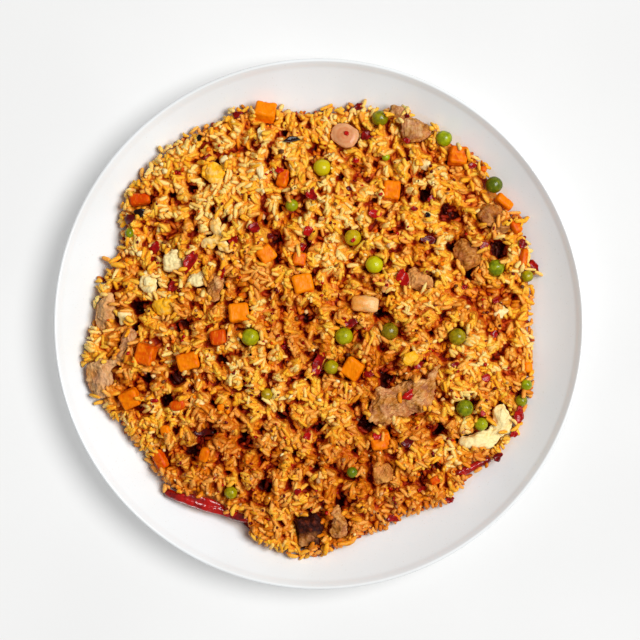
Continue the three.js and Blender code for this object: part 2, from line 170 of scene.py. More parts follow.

# Hollows between clumps, painted dark with shade, the darkest first: east, north, radius.
DARKEST_HOLLOWS = 7
HOLLOWS = [
    (-88.5, 8.3, 4.5), (-83.6, -26.4, 3.5), (-69.9, -26.4, 4.8), (-74.3, -37.1, 3.8), (33.0, -26.4, 5.8),
    (22.6, -49.0, 5.0), (88.5, 36.2, 5.0), (-54.2, -53.8, 4.0), (-36.2, -57.7, 4.4), (62.6, 53.8, 5.4),
    (64.5, 37.6, 3.8), (73.3, 23.5, 3.2), (51.3, 62.6, 4.0), (-61.6, -63.0, 4.4), (-17.6, -44.4, 3.4),
    (0.1, -50.9, 3.8), (-26.5, -79.4, 4.4), (-48.0, -17.3, 3.4), (-67.1, -0.4, 3.4), (-20.4, 41.5, 4.2),
    (-62.5, 67.2, 3.4), (-6.5, 3.2, 5.0), (58.0, -51.0, 4.0), (12.0, -87.0, 3.8), (30.0, 4.0, 3.4),
]

# How dark with sauce and painted shade the rice is round a place, over its even drift from north to south.
SAUCE_AND_SHADE_PATCHES = [
    (4.0, -10.0, 16, 0.42), (28.0, -22.0, 16, 0.30), (-50.0, -52.0, 15, 0.40), (72.0, 44.0, 17, 0.48),
    (2.0, -98.0, 15, 0.35), (-26.0, 34.0, 13, 0.32), (-24.0, -78.0, 15, 0.25), (22.0, -70.0, 16, 0.25),
    (-62.0, 60.0, 24, -0.28), (2.0, 22.0, 13, -0.35), (26.0, 46.0, 12, -0.30), (-24.0, -28.0, 13, -0.32),
    (-74.0, -50.0, 12, -0.60), (74.0, -30.0, 20, -0.34), (-80.0, 14.0, 18, -0.18), (52.0, -84.0, 12, -0.20),
    (47.0, -52.0, 12, 0.40), (-26.0, 92.0, 14, -0.28), (-26.0, 71.0, 12, -0.28), (47.0, 70.0, 12, -0.28),
    (12.0, 46.0, 13, -0.22), (47.0, -76.0, 10, -0.30), (-88.0, 44.0, 12, -0.20), (71.0, -3.0, 14, -0.22),
]


# ---- Noise and the surfaces that everything lies on ----

def lattice(cells, seed):
    """A repeatable value between -1 and 1 for each whole-numbered cell."""
    mixed = cells[..., 0] * 374761393 + cells[..., 1] * 668265263 + cells[..., 2] * 1440662683 + seed * 974711
    mixed = mixed & 0xFFFFFFFF
    mixed = ((mixed ^ (mixed >> 13)) * 1274126177) & 0xFFFFFFFF
    return ((mixed ^ (mixed >> 16)) & 0xFFFF) / 32767.5 - 1


def ripple(points, size, seed):
    """Smooth noise between about -1 and 1 at points, with features of the given size."""
    scaled = np.asarray(points, float) / size + 0.37 * seed
    cell = np.floor(scaled).astype(np.int64)
    part = scaled - cell
    part = part * part * (3 - 2 * part)
    total = 0.0
    for corner in np.ndindex(2, 2, 2):
        share = np.prod(np.where(corner, part, 1 - part), axis=-1)
        total = total + share * lattice(cell + np.array(corner), seed)
    return total


def flat_ripple(east, north, size, seed):
    """The same noise over a level sheet."""
    return ripple(np.stack([east, north, np.zeros_like(east)], axis=-1), size, seed)


def plate_top(radius):
    """Height of the plate's upper face at a distance from its middle."""
    along = np.clip((radius - PLATE_FLOOR_RADIUS) / (PLATE_RADIUS - PLATE_FLOOR_RADIUS), 0, None)
    return PLATE_FLOOR_TOP + (PLATE_HEIGHT - PLATE_FLOOR_TOP) * along ** PLATE_CURVE


def heap_reach(bearing):
    """How far the heap's outline lies from its middle."""
    reach = HEAP_RADIUS
    for lobe, out, width in HEAP_LOBES:
        away = np.radians(lobe) - bearing
        offset = np.arctan2(np.sin(away), np.cos(away)) / math.radians(width)
        reach = reach + out * np.exp(-0.5 * offset ** 2)
    return reach


def swell(east, north):
    """The slow ups and downs of the heap's surface, as in the part's source."""
    slow = np.sin(east / SWELL_LONG + 1.3) * np.cos(north / SWELL_LONG - 0.7)
    quick = np.sin((east + north) / SWELL_SHORT) * np.cos((east - north) / SWELL_SHORT)
    return SWELL_HEIGHT * (slow + 0.6 * quick)


def outwards(east, north, tuck=0.0):
    """0 at the heap's middle and 1 at its outline, or at an outline tucked in by some millimetres."""
    dx, dy = east - HEAP_EAST, north - HEAP_NORTH
    return np.hypot(dx, dy) / (heap_reach(np.arctan2(dy, dx)) - tuck)


def mound_top(east, north, tuck=0.0):
    """Height of the heap's even surface, as in the part's source."""
    dome = (1 - np.minimum(1, outwards(east, north, tuck)) ** HEAP_FLATNESS) ** HEAP_SHOULDER
    base = plate_top(np.hypot(east, north)) + HEAP_CLEARANCE + HEAP_EDGE
    return base + (HEAP_PEAK - HEAP_EDGE) * dome + swell(east, north) * dome


def hollow_depth(east, north, rows=HOLLOWS):
    """1 at the middle of a hollow, 0 away from all."""
    depth = np.zeros_like(east)
    for x, y, radius in rows:
        depth = np.maximum(depth, np.exp(-(((east - x) ** 2 + (north - y) ** 2) / radius ** 2) ** 1.5))
    return depth


def patches(east, north, width, seed):
    """Uneven patches of a sheet: the way to the nearest border, and two values of a place's own patch."""
    column, row = np.floor(east / width).astype(np.int64), np.floor(north / width).astype(np.int64)
    nearest = np.full(east.shape, FAR)
    second, own, other = nearest.copy(), np.zeros(east.shape), np.zeros(east.shape)
    for right, up in np.ndindex(3, 3):
        cell = np.stack([column + right - 1, row + up - 1, 0 * column], axis=-1)
        x = (cell[..., 0] + 0.5 + 0.46 * lattice(cell, seed)) * width
        y = (cell[..., 1] + 0.5 + 0.46 * lattice(cell, seed + 1)) * width
        away = np.hypot(x - east, y - north) - 0.2 * width * lattice(cell, seed + 2)
        own = np.where(away < nearest, lattice(cell, seed + 3), own)
        other = np.where(away < nearest, lattice(cell, seed + 4), other)
        second = np.minimum(second, np.maximum(away, nearest))
        nearest = np.minimum(away, nearest)
    return (second - nearest) / 2, own, other


def clump_rise(east, north):
    """0 in the crevices between clumps of rice and up to 1 on top of a clump, and the clump's own value."""
    shift = [
        1.7 * flat_ripple(east, north, 5.0, seed) + 0.8 * flat_ripple(east, north, 2.2, seed + 1)
        for seed in (31, 33)
    ]
    inside, own, _ = patches(east + shift[0], north + shift[1], CLUMP_WIDTH, 3)
    inside = inside + np.maximum(0, 1.8 * flat_ripple(east, north, 11.0, 35))
    return np.clip(inside / CLUMP_SHOULDER, 0, 1) ** 0.7 * (0.82 + 0.18 * own), own


def lumps(east, north):
    """Lumps of a few grains: the way to the crease round a lump, and the tone and the lie of its grains."""
    shift = [0.9 * flat_ripple(east, north, 2.6, seed) for seed in (53, 54)]
    inside, tone, turn = patches(east + shift[0], north + shift[1], LUMP_WIDTH, 17)
    return inside + np.maximum(0, 0.9 * flat_ripple(east, north, 7.0, 55)), tone, turn


def core_top(east, north):
    """The bare core under the loose grains, with the relief of the clumps."""
    edge = np.clip((1 - outwards(east, north, CORE_TUCK)) * 6, 0, 1)
    relief = CLUMP_HEIGHT * (clump_rise(east, north)[0] - CLUMP_LEVEL)
    relief = relief - HOLLOW_DROP * hollow_depth(east, north)
    inside, tone, _ = lumps(east, north)
    lump_rise = np.clip(inside / LUMP_SHOULDER, 0, 1) ** 0.6
    relief = relief + LUMP_HEIGHT * (lump_rise - LUMP_LEVEL) + LUMP_STEP * tone
    lowest = plate_top(np.hypot(east, north)) + HEAP_CLEARANCE
    top = mound_top(east, north, CORE_TUCK) - CORE_DEPTH * edge + relief * edge - HEAP_EDGE
    return np.maximum(lowest, top)


def sauce_and_shade_at(east, north):
    """How dark with sauce and painted shade the rice is at a place, from 0 to 1. It darkens towards the
    south.
    """
    sauce = 0.35 - 0.0017 * north + 0.2 * flat_ripple(east, north, 16.0, 8)
    sauce = sauce + 0.2 * flat_ripple(east, north, 5.5, 9)
    for x, y, radius, strength in SAUCE_AND_SHADE_PATCHES:
        sauce = sauce + 0.65 * strength * np.exp(-((east - x) ** 2 + (north - y) ** 2) / radius ** 2)
    return np.clip(sauce, 0, 1)


def settle(east, north, turn, rise=0.0):
    """Where a topping lies: on the mound and leaning with it, as in the part's source."""
    slope = Vector((
        float(mound_top(east + SLOPE_STEP, north) - mound_top(east - SLOPE_STEP, north)),
        float(mound_top(east, north + SLOPE_STEP) - mound_top(east, north - SLOPE_STEP)),
    )) / (2 * SLOPE_STEP)
    if slope.length > STEEPEST_SLOPE:
        slope *= STEEPEST_SLOPE / slope.length
    up = Vector((0, 0, 1))
    lean = up.rotation_difference(Vector((-slope.x, -slope.y, 1)).normalized()).to_matrix().to_4x4()
    place = Matrix.Translation((east, north, float(mound_top(east, north)) + rise))
    return np.array(place @ lean @ Matrix.Rotation(math.radians(turn), 4, "Z"))


# ---- Node trees ----

class Wire:
    """A socket that takes part in sums and products as a number does."""

    def __init__(self, sheet, socket):
        self.sheet, self.socket = sheet, socket

    def _math(self, operation, *terms):
        return self.sheet.node("ShaderNodeMath", {"operation": operation}, dict(enumerate(terms)))

    def __add__(self, other):
        return self._math("ADD", self, other)

    __radd__ = __add__

    def __sub__(self, other):
        return self._math("SUBTRACT", self, other)

    def __rsub__(self, other):
        return self._math("SUBTRACT", other, self)

    def __mul__(self, other):
        return self._math("MULTIPLY", self, other)

    __rmul__ = __mul__


class Sheet:
    """A node tree, where one call adds a node."""

    def __init__(self, tree):
        self.tree = tree

    def feed(self, socket, value):
        if isinstance(value, Wire):
            self.tree.links.new(value.socket, socket)
        else:
            socket.default_value = value

    def node(self, kind, settings=None, sockets=None, output=0):
        made = self.tree.nodes.new(kind)
        for name, value in (settings or {}).items():
            setattr(made, name, value)
        for name, value in (sockets or {}).items():
            self.feed(made.inputs[name], value)
        return Wire(self, made.outputs[output]) if made.outputs else made


class Recipe(Sheet):
    """A material that is built up from noise, attributes and mixed colours."""

    def __init__(self, name):
        self.material = bpy.data.materials.new(name)
        self.material.use_nodes = True
        super().__init__(self.material.node_tree)
        self.tree.nodes.clear()
        self.place = self.node("ShaderNodeTexCoord", output="Object")

    def noise(self, size, detail=2.0, roughness=0.5, stretch=None, at=None):
        at = at or self.place
        if stretch:
            at = self.node("ShaderNodeMapping", {}, {"Vector": at, "Scale": stretch})
        sockets = {"Vector": at, "Scale": 1 / (size * MM), "Detail": detail, "Roughness": roughness}
        return self.node("ShaderNodeTexNoise", {}, sockets)

    def cells(self, size, output="Distance"):
        sockets = {"Vector": self.place, "Scale": 1 / (size * MM)}
        return self.node("ShaderNodeTexVoronoi", {}, sockets, output=output)

    def attributes(self, *names):
        """The values that the mesh keeps for its points, under the given names."""
        return [self.node("ShaderNodeAttribute", {"attribute_name": name}, output="Fac") for name in names]

    def between(self, value, low, high):
        """0 where value is below low, 1 above high, and a smooth rise between."""
        sockets = {"Value": value, "From Min": low, "From Max": high}
        return self.node("ShaderNodeMapRange", {"interpolation_type": "SMOOTHSTEP"}, sockets)

    def blend(self, under, over, share, mode="MIX"):
        """One colour over another. Each is a wire or six hexadecimal figures."""
        under, over = (colour(side) if isinstance(side, str) else side for side in (under, over))
        settings = {"data_type": "RGBA", "blend_type": mode}
        return self.node("ShaderNodeMix", settings, {0: share, 6: under, 7: over}, output=2)

    def start(self, under, over, share):
        """Sets the body colour."""
        self.body = self.blend(under, over, share)

    def stain(self, over, share, mode="MIX"):
        """Lays a colour over the body colour."""
        self.body = self.blend(self.body, over, share, mode)

    def bump(self, height, depth, under=None):
        sockets = {"Height": height, "Distance": depth * MM, "Strength": 1.0}
        if under:
            sockets["Normal"] = under
        return self.node("ShaderNodeBump", {}, sockets)

    def finish(self, roughness, normal, **fixed):
        """The material, in the body colour."""
        sockets = {"Base Color": self.body, "Roughness": roughness, "Normal": normal}
        sockets.update({name.replace("_", " "): value for name, value in fixed.items()})
        shader = self.node("ShaderNodeBsdfPrincipled", {}, sockets)
        self.node("ShaderNodeOutputMaterial", {}, {"Surface": shader})
        return self.material


def colour(code):
    """A colour from its six hexadecimal figures."""
    parts = [int(code[i:i + 2], 16) / 255 for i in (0, 2, 4)]
    return [*(part / 12.92 if part <= 0.04045 else ((part + 0.055) / 1.055) ** 2.4 for part in parts), 1.0]


# ---- Finishes ----

# The sauce colour, which also paints shade low between the grains.
LOW_SAUCE_AND_SHADE = "bc3000"
# Near-black painted shadow for the bottoms of the hollows.
HOLLOW_SHADOW_COLOUR = "2a0400"


def rice_finish(name, light, full, flank_shade):
    """Oily fried rice: each grain has its own tone, with painted shade on its lower flanks; low between the
    grains it darkens with sauce and painted shade, and in the hollows with painted shadow near black.
    """
    mix = Recipe(name)
    tone, sunk, flank_shade_depth, sauce = mix.attributes("tone", "sunk", "flank_shade_depth", "sauce")
    mottle = mix.noise(1.5, 3)
    mix.start(light, full, mix.between(tone + mottle - 0.5, 0.1, 0.9))
    # Orange where the sauce value is high; that value is partly painted shade.
    mix.stain("d06408", mix.between(sauce + 0.7 * mottle, 0.55, 1.35) * 0.65)
    # Painted shade on the grains' lower flanks, below their neighbours' tops.
    mix.stain(flank_shade, mix.between(flank_shade_depth + (mottle - 0.5) * 0.3, 0.2, 0.9) * 0.7)
    # Sauce and painted shade, low between the grains.
    low = mix.between(sunk + (mottle - 0.5) * 0.4 + sauce * 0.1, 0.3, 0.95)
    mix.stain(LOW_SAUCE_AND_SHADE, low * 0.85)
    # Painted shade deep down, then painted shadow near black in the hollows.
    mix.stain("880e00", mix.between(sunk, 0.75, 1.0) * 0.75)
    mix.stain(HOLLOW_SHADOW_COLOUR, mix.between(sunk, 1.0, 1.5) * 0.9)
    flecks = mix.between(mix.noise(0.9, 1.0), 0.66, 0.71) * mix.between(mix.noise(7.0), 0.42, 0.6)
    mix.stain("b42402", flecks * 0.45)
    skin = mix.bump(mix.noise(0.8, 2.0), 0.16)
    return mix.finish(0.42 + 0.3 * (mottle - 0.5) + low * 0.15, skin, Specular_IOR_Level=0.21,
                      Subsurface_Weight=0.3, Subsurface_Radius=(1.0, 0.4, 0.12), Subsurface_Scale=0.9 * MM)


def core_finish():
    """Rice packed between and under the loose grains, dark with sauce and painted shade further down, and
    with painted shadow near black in the hollows.
    """
    mix = Recipe("rice_core_finish")
    sunk, sauce = mix.attributes("sunk", "sauce")
    mottle = mix.noise(2.0, 4, 0.6)
    grains = mix.cells(2.2, "Color")
    # Deeper orange where the sauce value is high; that value is partly painted shade.
    shade = mix.between(sauce + 0.5 * (mottle - 0.5) + 0.35 * (grains - 0.5), 0.0, 0.8)
    mix.start("fcae34", "c86408", shade)
    # Sauce and painted shade, low in the packed rice.
    low = mix.between(sunk + (mottle - 0.5) * 0.4 + sauce * 0.1, 0.3, 0.95)
    mix.stain(LOW_SAUCE_AND_SHADE, low * 0.9)
    # Painted shade deep down, then painted shadow near black in the hollows.
    mix.stain("8c1000", mix.between(sunk, 0.62, 0.95) * 0.85)
    mix.stain(HOLLOW_SHADOW_COLOUR, mix.between(sunk, 1.0, 1.5) * 0.9)
    return mix.finish(0.4 + 0.2 * mottle, mix.bump(mix.cells(2.2), 1.0), Specular_IOR_Level=0.14)


def glaze():
    """Warm white glaze with a faint waviness, a film of oil by the food and a dry ring under the foot."""
    mix = Recipe("plate_glaze")
    height = mix.node("ShaderNodeSeparateXYZ", {}, {"Vector": mix.place}, output="Z")
    dry = 1 - mix.between(height, 0.3 * MM, 1.0 * MM)
    (oil,) = mix.attributes("oil")
    drift = mix.noise(42.0, 2.0)
    mix.start("f2f5f6", "eef0f0", mix.between(drift, 0.35, 0.65))
    mix.stain("cbbfae", mix.between(mix.noise(0.7, 0.0), 0.78, 0.82) * 0.25)
    mix.stain("e8dccb", dry * 0.8)
    film = mix.between(oil + (mix.noise(2.6, 3.0) - 0.5) * 0.9, 0.45, 0.8)
    mix.stain("f0d8a8", film * 0.2)
    gloss = 0.16 + 0.10 * mix.between(mix.noise(9.0, 3.0), 0.4, 0.7) + 0.5 * dry - 0.06 * film
    wave = mix.bump(mix.noise(16.0, 1.0), 0.12, mix.bump(mix.noise(1.3, 2.0), 0.008))
    return mix.finish(gloss, wave, Coat_Weight=0.35, Coat_Roughness=0.08)


def pea_finish():
    """Pea skin from dark to yellow green, warmer where sauce coats it, with fine wrinkles."""
    mix = Recipe("pea_finish")
    tone, sunk, warmth = mix.attributes("tone", "sunk", "warmth")
    mottle = mix.noise(2.2, 3.0)
    light = mix.between(tone + (mottle - 0.5) * 0.9, 0.0, 1.05)
    green = mix.blend("506300", "c2cd00", light)
    saucy = mix.blend("595000", "d2a900", light)
    mix.start(green, saucy, warmth)
    mix.stain("dccc34", mix.between(mix.noise(0.7, 1.0), 0.6, 0.75) * 0.25)
    # Painted shade low in the rice.
    mix.stain("36400a", mix.between(sunk, 0.15, 0.9) * 0.85)
    wrinkle = mix.bump(mix.noise(1.1, 3.0), 0.14)
    return mix.finish(0.16 + 0.16 * mottle, wrinkle, Specular_IOR_Level=0.36)


def carrot_finish():
    """Fried carrot: mottled orange with lighter fibres, browner low in the rice as painted shade."""
    mix = Recipe("carrot_finish")
    tone, sunk = mix.attributes("tone", "sunk")
    mottle = mix.noise(3.0, 3.0)
    mix.start("d44200", "fa8800", mix.between(tone + (mottle - 0.5) * 1.3, 0.0, 1.0))
    fibre = mix.noise(0.9, 2.0, stretch=(1.0, 0.35, 1.0))
    mix.stain("ffa41c", mix.between(fibre, 0.54, 0.7) * 0.4)
    # Browner low in the rice: painted shade.
    mix.stain("a03c00", mix.between(sunk + (mottle - 0.5) * 0.4, 0.25, 0.95) * 0.8)
    return mix.finish(0.26 + 0.18 * mottle, mix.bump(fibre, 0.2), Specular_IOR_Level=0.1)


def meat_finish():
    """Braised meat: fibres, tan, pinkish and orange patches, lighter ridges and darker folds as painted
    highlight and shade, painted shade low in the rice, and a wet look.
    """
    mix = Recipe("meat_finish")
    tone, sunk, ridge, warmth = mix.attributes("tone", "sunk", "ridge", "warmth")
    strand = mix.node("ShaderNodeAttribute", {"attribute_name": "strand"}, output="Vector")
    mottle = mix.noise(2.8, 4.0, 0.6)
    fibre = mix.noise(1.1, 3.0, 0.6, stretch=(0.22, 1.0, 1.0), at=strand)
    # Lighter on the raised ridges: painted highlight.
    mix.start("90500c", "d8943e", mix.between(mottle * 0.8 + ridge * 0.6, 0.4, 0.95))
    mix.stain("d08c70", mix.between(mix.noise(5.0, 3.0), 0.46, 0.6) * 0.5)
    # Light fibres, lighter still on the ridges as painted highlight.
    mix.stain("f2c48a", mix.between(0.6 * fibre + 0.5 * ridge, 0.52, 0.8) * 0.7)
    threads = mix.noise(0.9, 3.0, 0.6, stretch=(0.32, 1.0, 1.0), at=strand)
    frayed = mix.between(mix.noise(3.6, 2.0), 0.4, 0.62)
    mix.stain("fcdca4", mix.between(threads, 0.52, 0.66) * frayed * 0.4)
    mix.stain("6a3006", mix.between(1 - threads, 0.5, 0.66) * 0.3)
    mix.stain("d88024", mix.between(mix.noise(4.2, 3.0), 0.5, 0.64) * 0.35)
    mix.stain("7c3c08", mix.between(mix.noise(1.0, 2.0), 0.58, 0.7) * 0.45)
    mix.stain("6e3606", mix.between(tone, 0.1, 0.9) * 0.5)
    mix.stain("f4cc98", mix.between(0 - tone, 0.0, 1.0) * 0.6)
    mix.stain("ffdf9c", warmth, "MULTIPLY")
    seared = mix.blend("2e0400", "742806", mix.between(mottle + 0.3 * ridge, 0.65, 0.95))
    mix.stain(seared, mix.between(tone + (mottle - 0.5) * 0.5, 0.7, 1.0))
    # Darker in the folds: painted shade.
    mix.stain("6a2c08", mix.between(0.5 - ridge + (fibre - 0.5) * 0.5, 0.05, 0.5) * 0.6)
    # Painted shade low in the rice, less on the ridges.
    mix.stain("441404", mix.between(sunk + (fibre - 0.5) * 0.5 - ridge * 0.3, 0.1, 0.8) * 0.9)
    rough = mix.bump(fibre + 0.8 * mottle + 0.4 * threads, 0.85)
    gloss = 0.28 + 0.25 * mottle + 0.2 * mix.between(tone, 0.7, 1.0)
    return mix.finish(gloss, rough, Specular_IOR_Level=0.2)


def egg_finish():
    """Scrambled egg: cream curds, yellow in the folds, browned here and there."""
    mix = Recipe("egg_finish")
    tone, sunk, ridge = mix.attributes("tone", "sunk", "ridge")
    mottle = mix.noise(2.6, 3.0)
    mix.start("fbe6a6", "ffb818", mix.between(tone + (mottle - 0.5) * 1.2 + 0.5 * (0.5 - ridge), 0.1, 0.9))
    mix.stain("e0981c", mix.between(mix.noise(1.6, 3.0), 0.58, 0.74) * 0.45)
    # Painted shade low in the rice, less on the raised parts.
    mix.stain("b8640a", mix.between(sunk - ridge * 0.3, 0.1, 0.8) * 0.8)
    curds = mix.bump(mix.noise(1.2, 3.0), 0.4)
    return mix.finish(0.42 + 0.2 * (mottle - 0.5), curds, Specular_IOR_Level=0.25)


def shallot_finish():
    """Fried shallot: half clear, with the fine lines of its layers."""
    mix = Recipe("shallot_finish")
    tone, sunk, ridge = mix.attributes("tone", "sunk", "ridge")
    inner = mix.blend("d3804c", "ec9c40", mix.between(tone, 0.3, 0.7))
    outer = mix.blend("e6ac7a", "f0bc78", mix.between(tone, 0.3, 0.7))
    mix.start(inner, outer, mix.between(ridge + 0.4 * (mix.noise(2.0, 2.0) - 0.5), 0.15, 0.85))
    # Painted shade low in the rice.
    mix.stain("8c4010", mix.between(sunk, 0.2, 0.9) * 0.7)
    gloss = 0.3 + 0.1 * mix.noise(2.0)
    return mix.finish(gloss, mix.bump(mix.noise(1.6, 2.0), 0.15), Specular_IOR_Level=0.28,
                      Subsurface_Weight=0.4, Subsurface_Radius=(1.0, 0.5, 0.3), Subsurface_Scale=1.2 * MM)


def chilli_finish():
    """Wet red chilli skin, near black where it is fried dark."""
    mix = Recipe("chilli_finish")
    tone, sunk, wet = mix.attributes("tone", "sunk", "wet")
    mottle = mix.noise(1.8, 3.0)
    mix.start("5c0000", "bc0c02", mix.between(tone + (mottle - 0.5) * 0.9, 0.3, 0.95))
    mix.stain("1a0402", mix.between(0.28 - tone + (mottle - 0.5) * 0.3, 0.1, 0.25))
    # Painted shade low in the rice.
    mix.stain("2c0200", mix.between(sunk, 0.35, 1.0) * 0.8)
    wrinkle = mix.bump(mix.noise(1.4, 2.0), 0.3)
    return mix.finish(0.2 + 0.18 * mottle, wrinkle, Specular_IOR_Level=0.2,
                      Coat_Weight=0.15 + 0.6 * wet, Coat_Roughness=0.12)


# ---- Meshes ----

def in_scene(name, data):
    """An object of the scene that shows a mesh, a light or a camera."""
    shown = bpy.data.objects.new(name, data)
    bpy.context.scene.collection.objects.link(shown)
    return shown


def mesh_of(name, points, faces, scale=MM):
    """A mesh from points in millimetres, or in the given unit."""
    mesh = bpy.data.meshes.new(name)
    mesh.from_pydata((np.asarray(points) * scale).tolist(), [], faces)
    return mesh


def made_real(holder):
    """The mesh that an object's modifiers make of it, and its points in metres. The object itself goes."""
    mesh = bpy.data.meshes.new_from_object(holder.evaluated_get(bpy.context.evaluated_depsgraph_get()))
    points = np.empty(len(mesh.vertices) * 3, np.float32)
    mesh.vertices.foreach_get("co", points)
    bpy.data.objects.remove(holder)
    return mesh, points.reshape(-1, 3)


def ball(level):
    """Points on a unit ball, evenly spread, and their triangles."""
    form = bmesh.new()
    bmesh.ops.create_icosphere(form, subdivisions=level, radius=1)
    points = np.array([v.co[:] for v in form.verts])
    faces = np.array([[v.index for v in f.verts] for f in form.faces])
    form.free()
    return points, faces


def band(one, two):
    """Faces between two closed rows of points, given by the points' numbers."""
    return np.stack([one, two, np.roll(two, -1), np.roll(one, -1)], -1).tolist()


def facings(points, faces):
    """Unit vectors square to the surface at each point."""
    corners = points[faces.T]
    across = corners[2] - corners[0]
    if len(corners) == 4:
        square = np.cross(across, corners[3] - corners[1])
    else:
        square = np.cross(corners[1] - corners[0], across)
    total = np.zeros_like(points)
    for corner in faces.T:
        np.add.at(total, corner, square)
    return total / np.maximum(np.linalg.norm(total, axis=1, keepdims=True), 1e-12)


def pushed(points, faces, out):
    """Points moved out of their surface by so many millimetres each."""
    return points + facings(points, faces) * out[:, None]


def relax(points, faces, rounds):
    """Evens out steps in a mesh by moving each point towards its neighbours."""
    onward = np.roll(faces, -1, axis=1)
    sides = np.vstack([np.stack([faces[:, i], onward[:, i]], 1) for i in range(faces.shape[1])])
    sides = np.vstack([sides, sides[:, ::-1]])
    count = np.bincount(sides[:, 0], minlength=len(points))[:, None]
    for _ in range(rounds):
        total = np.zeros_like(points)
        np.add.at(total, sides[:, 0], points[sides[:, 1]])
        points = 0.5 * points + 0.5 * total / np.maximum(count, 1)
    return points


def moved(points, place):
    return points @ place[:3, :3].T + place[:3, 3]


def fine_copy(node, voxel, rounds):
    """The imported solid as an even, closed mesh of small faces, in millimetres, with lumps in its waists."""
    form = bmesh.new()
    form.from_mesh(frame["nodes"][node].data)
    bmesh.ops.remove_doubles(form, verts=form.verts, dist=1e-6)
    for east, north, length, width, height, turn, rise in FILLERS.get(node, ()):
        place = Matrix(settle(east, north, turn, rise).tolist())
        place = Matrix.Scale(MM, 4) @ place @ Matrix.Diagonal((length / 2, width / 2, height / 2, 1))
        bmesh.ops.create_icosphere(form, subdivisions=3, radius=1, matrix=place)
    mesh = bpy.data.meshes.new("working_copy")
    form.to_mesh(mesh)
    form.free()
    holder = in_scene("working_copy", mesh)
    remesh = holder.modifiers.new("even_faces", "REMESH")
    remesh.mode = "VOXEL"
    remesh.voxel_size = voxel * MM
    even, points = made_real(holder)
    faces = np.array([p.vertices[:] for p in even.polygons])
    bpy.data.meshes.remove(mesh)
    bpy.data.meshes.remove(even)
    return relax(points.astype(float) / MM, faces, rounds), faces


def torn(points, faces, seed, depth, reach=5.0):
    """Flattens a lump here and there, so that it has flats and edges as torn meat has."""
    draw = np.random.default_rng(seed)
    out = facings(points, faces)
    points = points + out * 0.4
    for k in draw.integers(0, len(points), len(points) // POINTS_PER_FLAT):
        facing = out[k] + draw.normal(0, 0.28, 3)
        facing /= np.linalg.norm(facing)
        away = points - points[k]
        over = np.maximum(away @ facing + depth * draw.uniform(0.3, 1.0), 0)
        near = np.clip(1.6 - np.linalg.norm(away, axis=1) / reach, 0, 1)
        points = points - facing * (over * near)[:, None]
    return points


def knobs(points, spacing, seed):
    """1 on the crown of each knob of a curdled surface and 0 in the creases between them."""
    draw = np.random.default_rng(seed)
    crowns = []
    for point in points[draw.permutation(len(points))[:KNOB_TRIES]]:
        if not crowns or np.linalg.norm(np.array(crowns) - point, axis=1).min() > 0.75 * spacing:
            crowns.append(point)
    away = np.linalg.norm(points[:, None] - np.array(crowns)[None], axis=2).min(1)
    return np.clip(1 - (away / spacing) ** 2, 0, 1)


def turned(points, turn):
    """Places turned about the vertical, so that +X runs along a piece."""
    cos, sin = math.cos(turn), math.sin(turn)
    return points @ np.array([[cos, -sin, 0], [sin, cos, 0], [0, 0, 1]])


def wander(points, size, seed):
    """A smooth shift, different at each point."""
    return np.stack([ripple(points, size, seed + k) for k in range(3)], axis=-1)


def store(mesh, name, values):
    """Keeps one number, or one place, for each of the mesh's points."""
    values = np.asarray(values, np.float32)
    kind, field = ("FLOAT", "value") if values.ndim == 1 else ("FLOAT_VECTOR", "vector")
    mesh.attributes.new(name, kind, "POINT").data.foreach_set(field, values.ravel())


def dress(name, mesh, material, nodes):
    """Makes a finished piece of a mesh: smooth, in its material, riding on the part."""
    mesh.shade_smooth()
    mesh.materials.clear()
    mesh.materials.append(material)
    piece = in_scene(name, mesh)
    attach(piece, "root")
    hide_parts(*nodes)


def named(prefix):
    """The nodes of a kind, in order."""
    return sorted(name for name in frame["nodes"] if name.startswith(prefix))


# ---- The plate ----

def plate_section():
    """Radius and height round the plate's section, from the middle of its top to the middle underneath."""
    underside = PLATE_FLOOR_TOP - PLATE_FLOOR_THICKNESS
    section = [(radius, plate_top(radius)) for radius in (20, 40, 60, 74, 82, *np.arange(86, 127.5, 1.5))]
    # The lip stays a hair inside the solid's.
    lip = PLATE_RADIUS - 0.06 - PLATE_LIP_ROUND
    lip_height = PLATE_HEIGHT - 0.04 - PLATE_LIP_ROUND
    for turn in np.linspace(math.radians(128), math.radians(-60), 10):
        out, up = PLATE_LIP_ROUND * math.cos(turn), PLATE_LIP_ROUND * math.sin(turn)
        section.append((lip + out, lip_height + up))
    thinner = PLATE_FLOOR_THICKNESS - PLATE_LIP_THICKNESS
    for radius in (127, 124, 120, 116, 112, 107, 102, 97, 92, 87, 82):
        along = max(0.0, (radius - PLATE_FLOOR_RADIUS) / (PLATE_RADIUS - PLATE_FLOOR_RADIUS))
        section.append((radius, plate_top(radius) - PLATE_FLOOR_THICKNESS + thinner * along ** 2))
    foot = [(3.4, underside), (1.6, underside - 0.35), (0.5, 1.1), (-0.1, 0.35), (-0.9, 0.02)]
    section += [(FOOT_OUTER_RADIUS + out, height) for out, height in foot]
    section += [(FOOT_INNER_RADIUS - out, height) for out, height in reversed(foot)]
    return np.array(section + [(45, underside), (20, underside)])


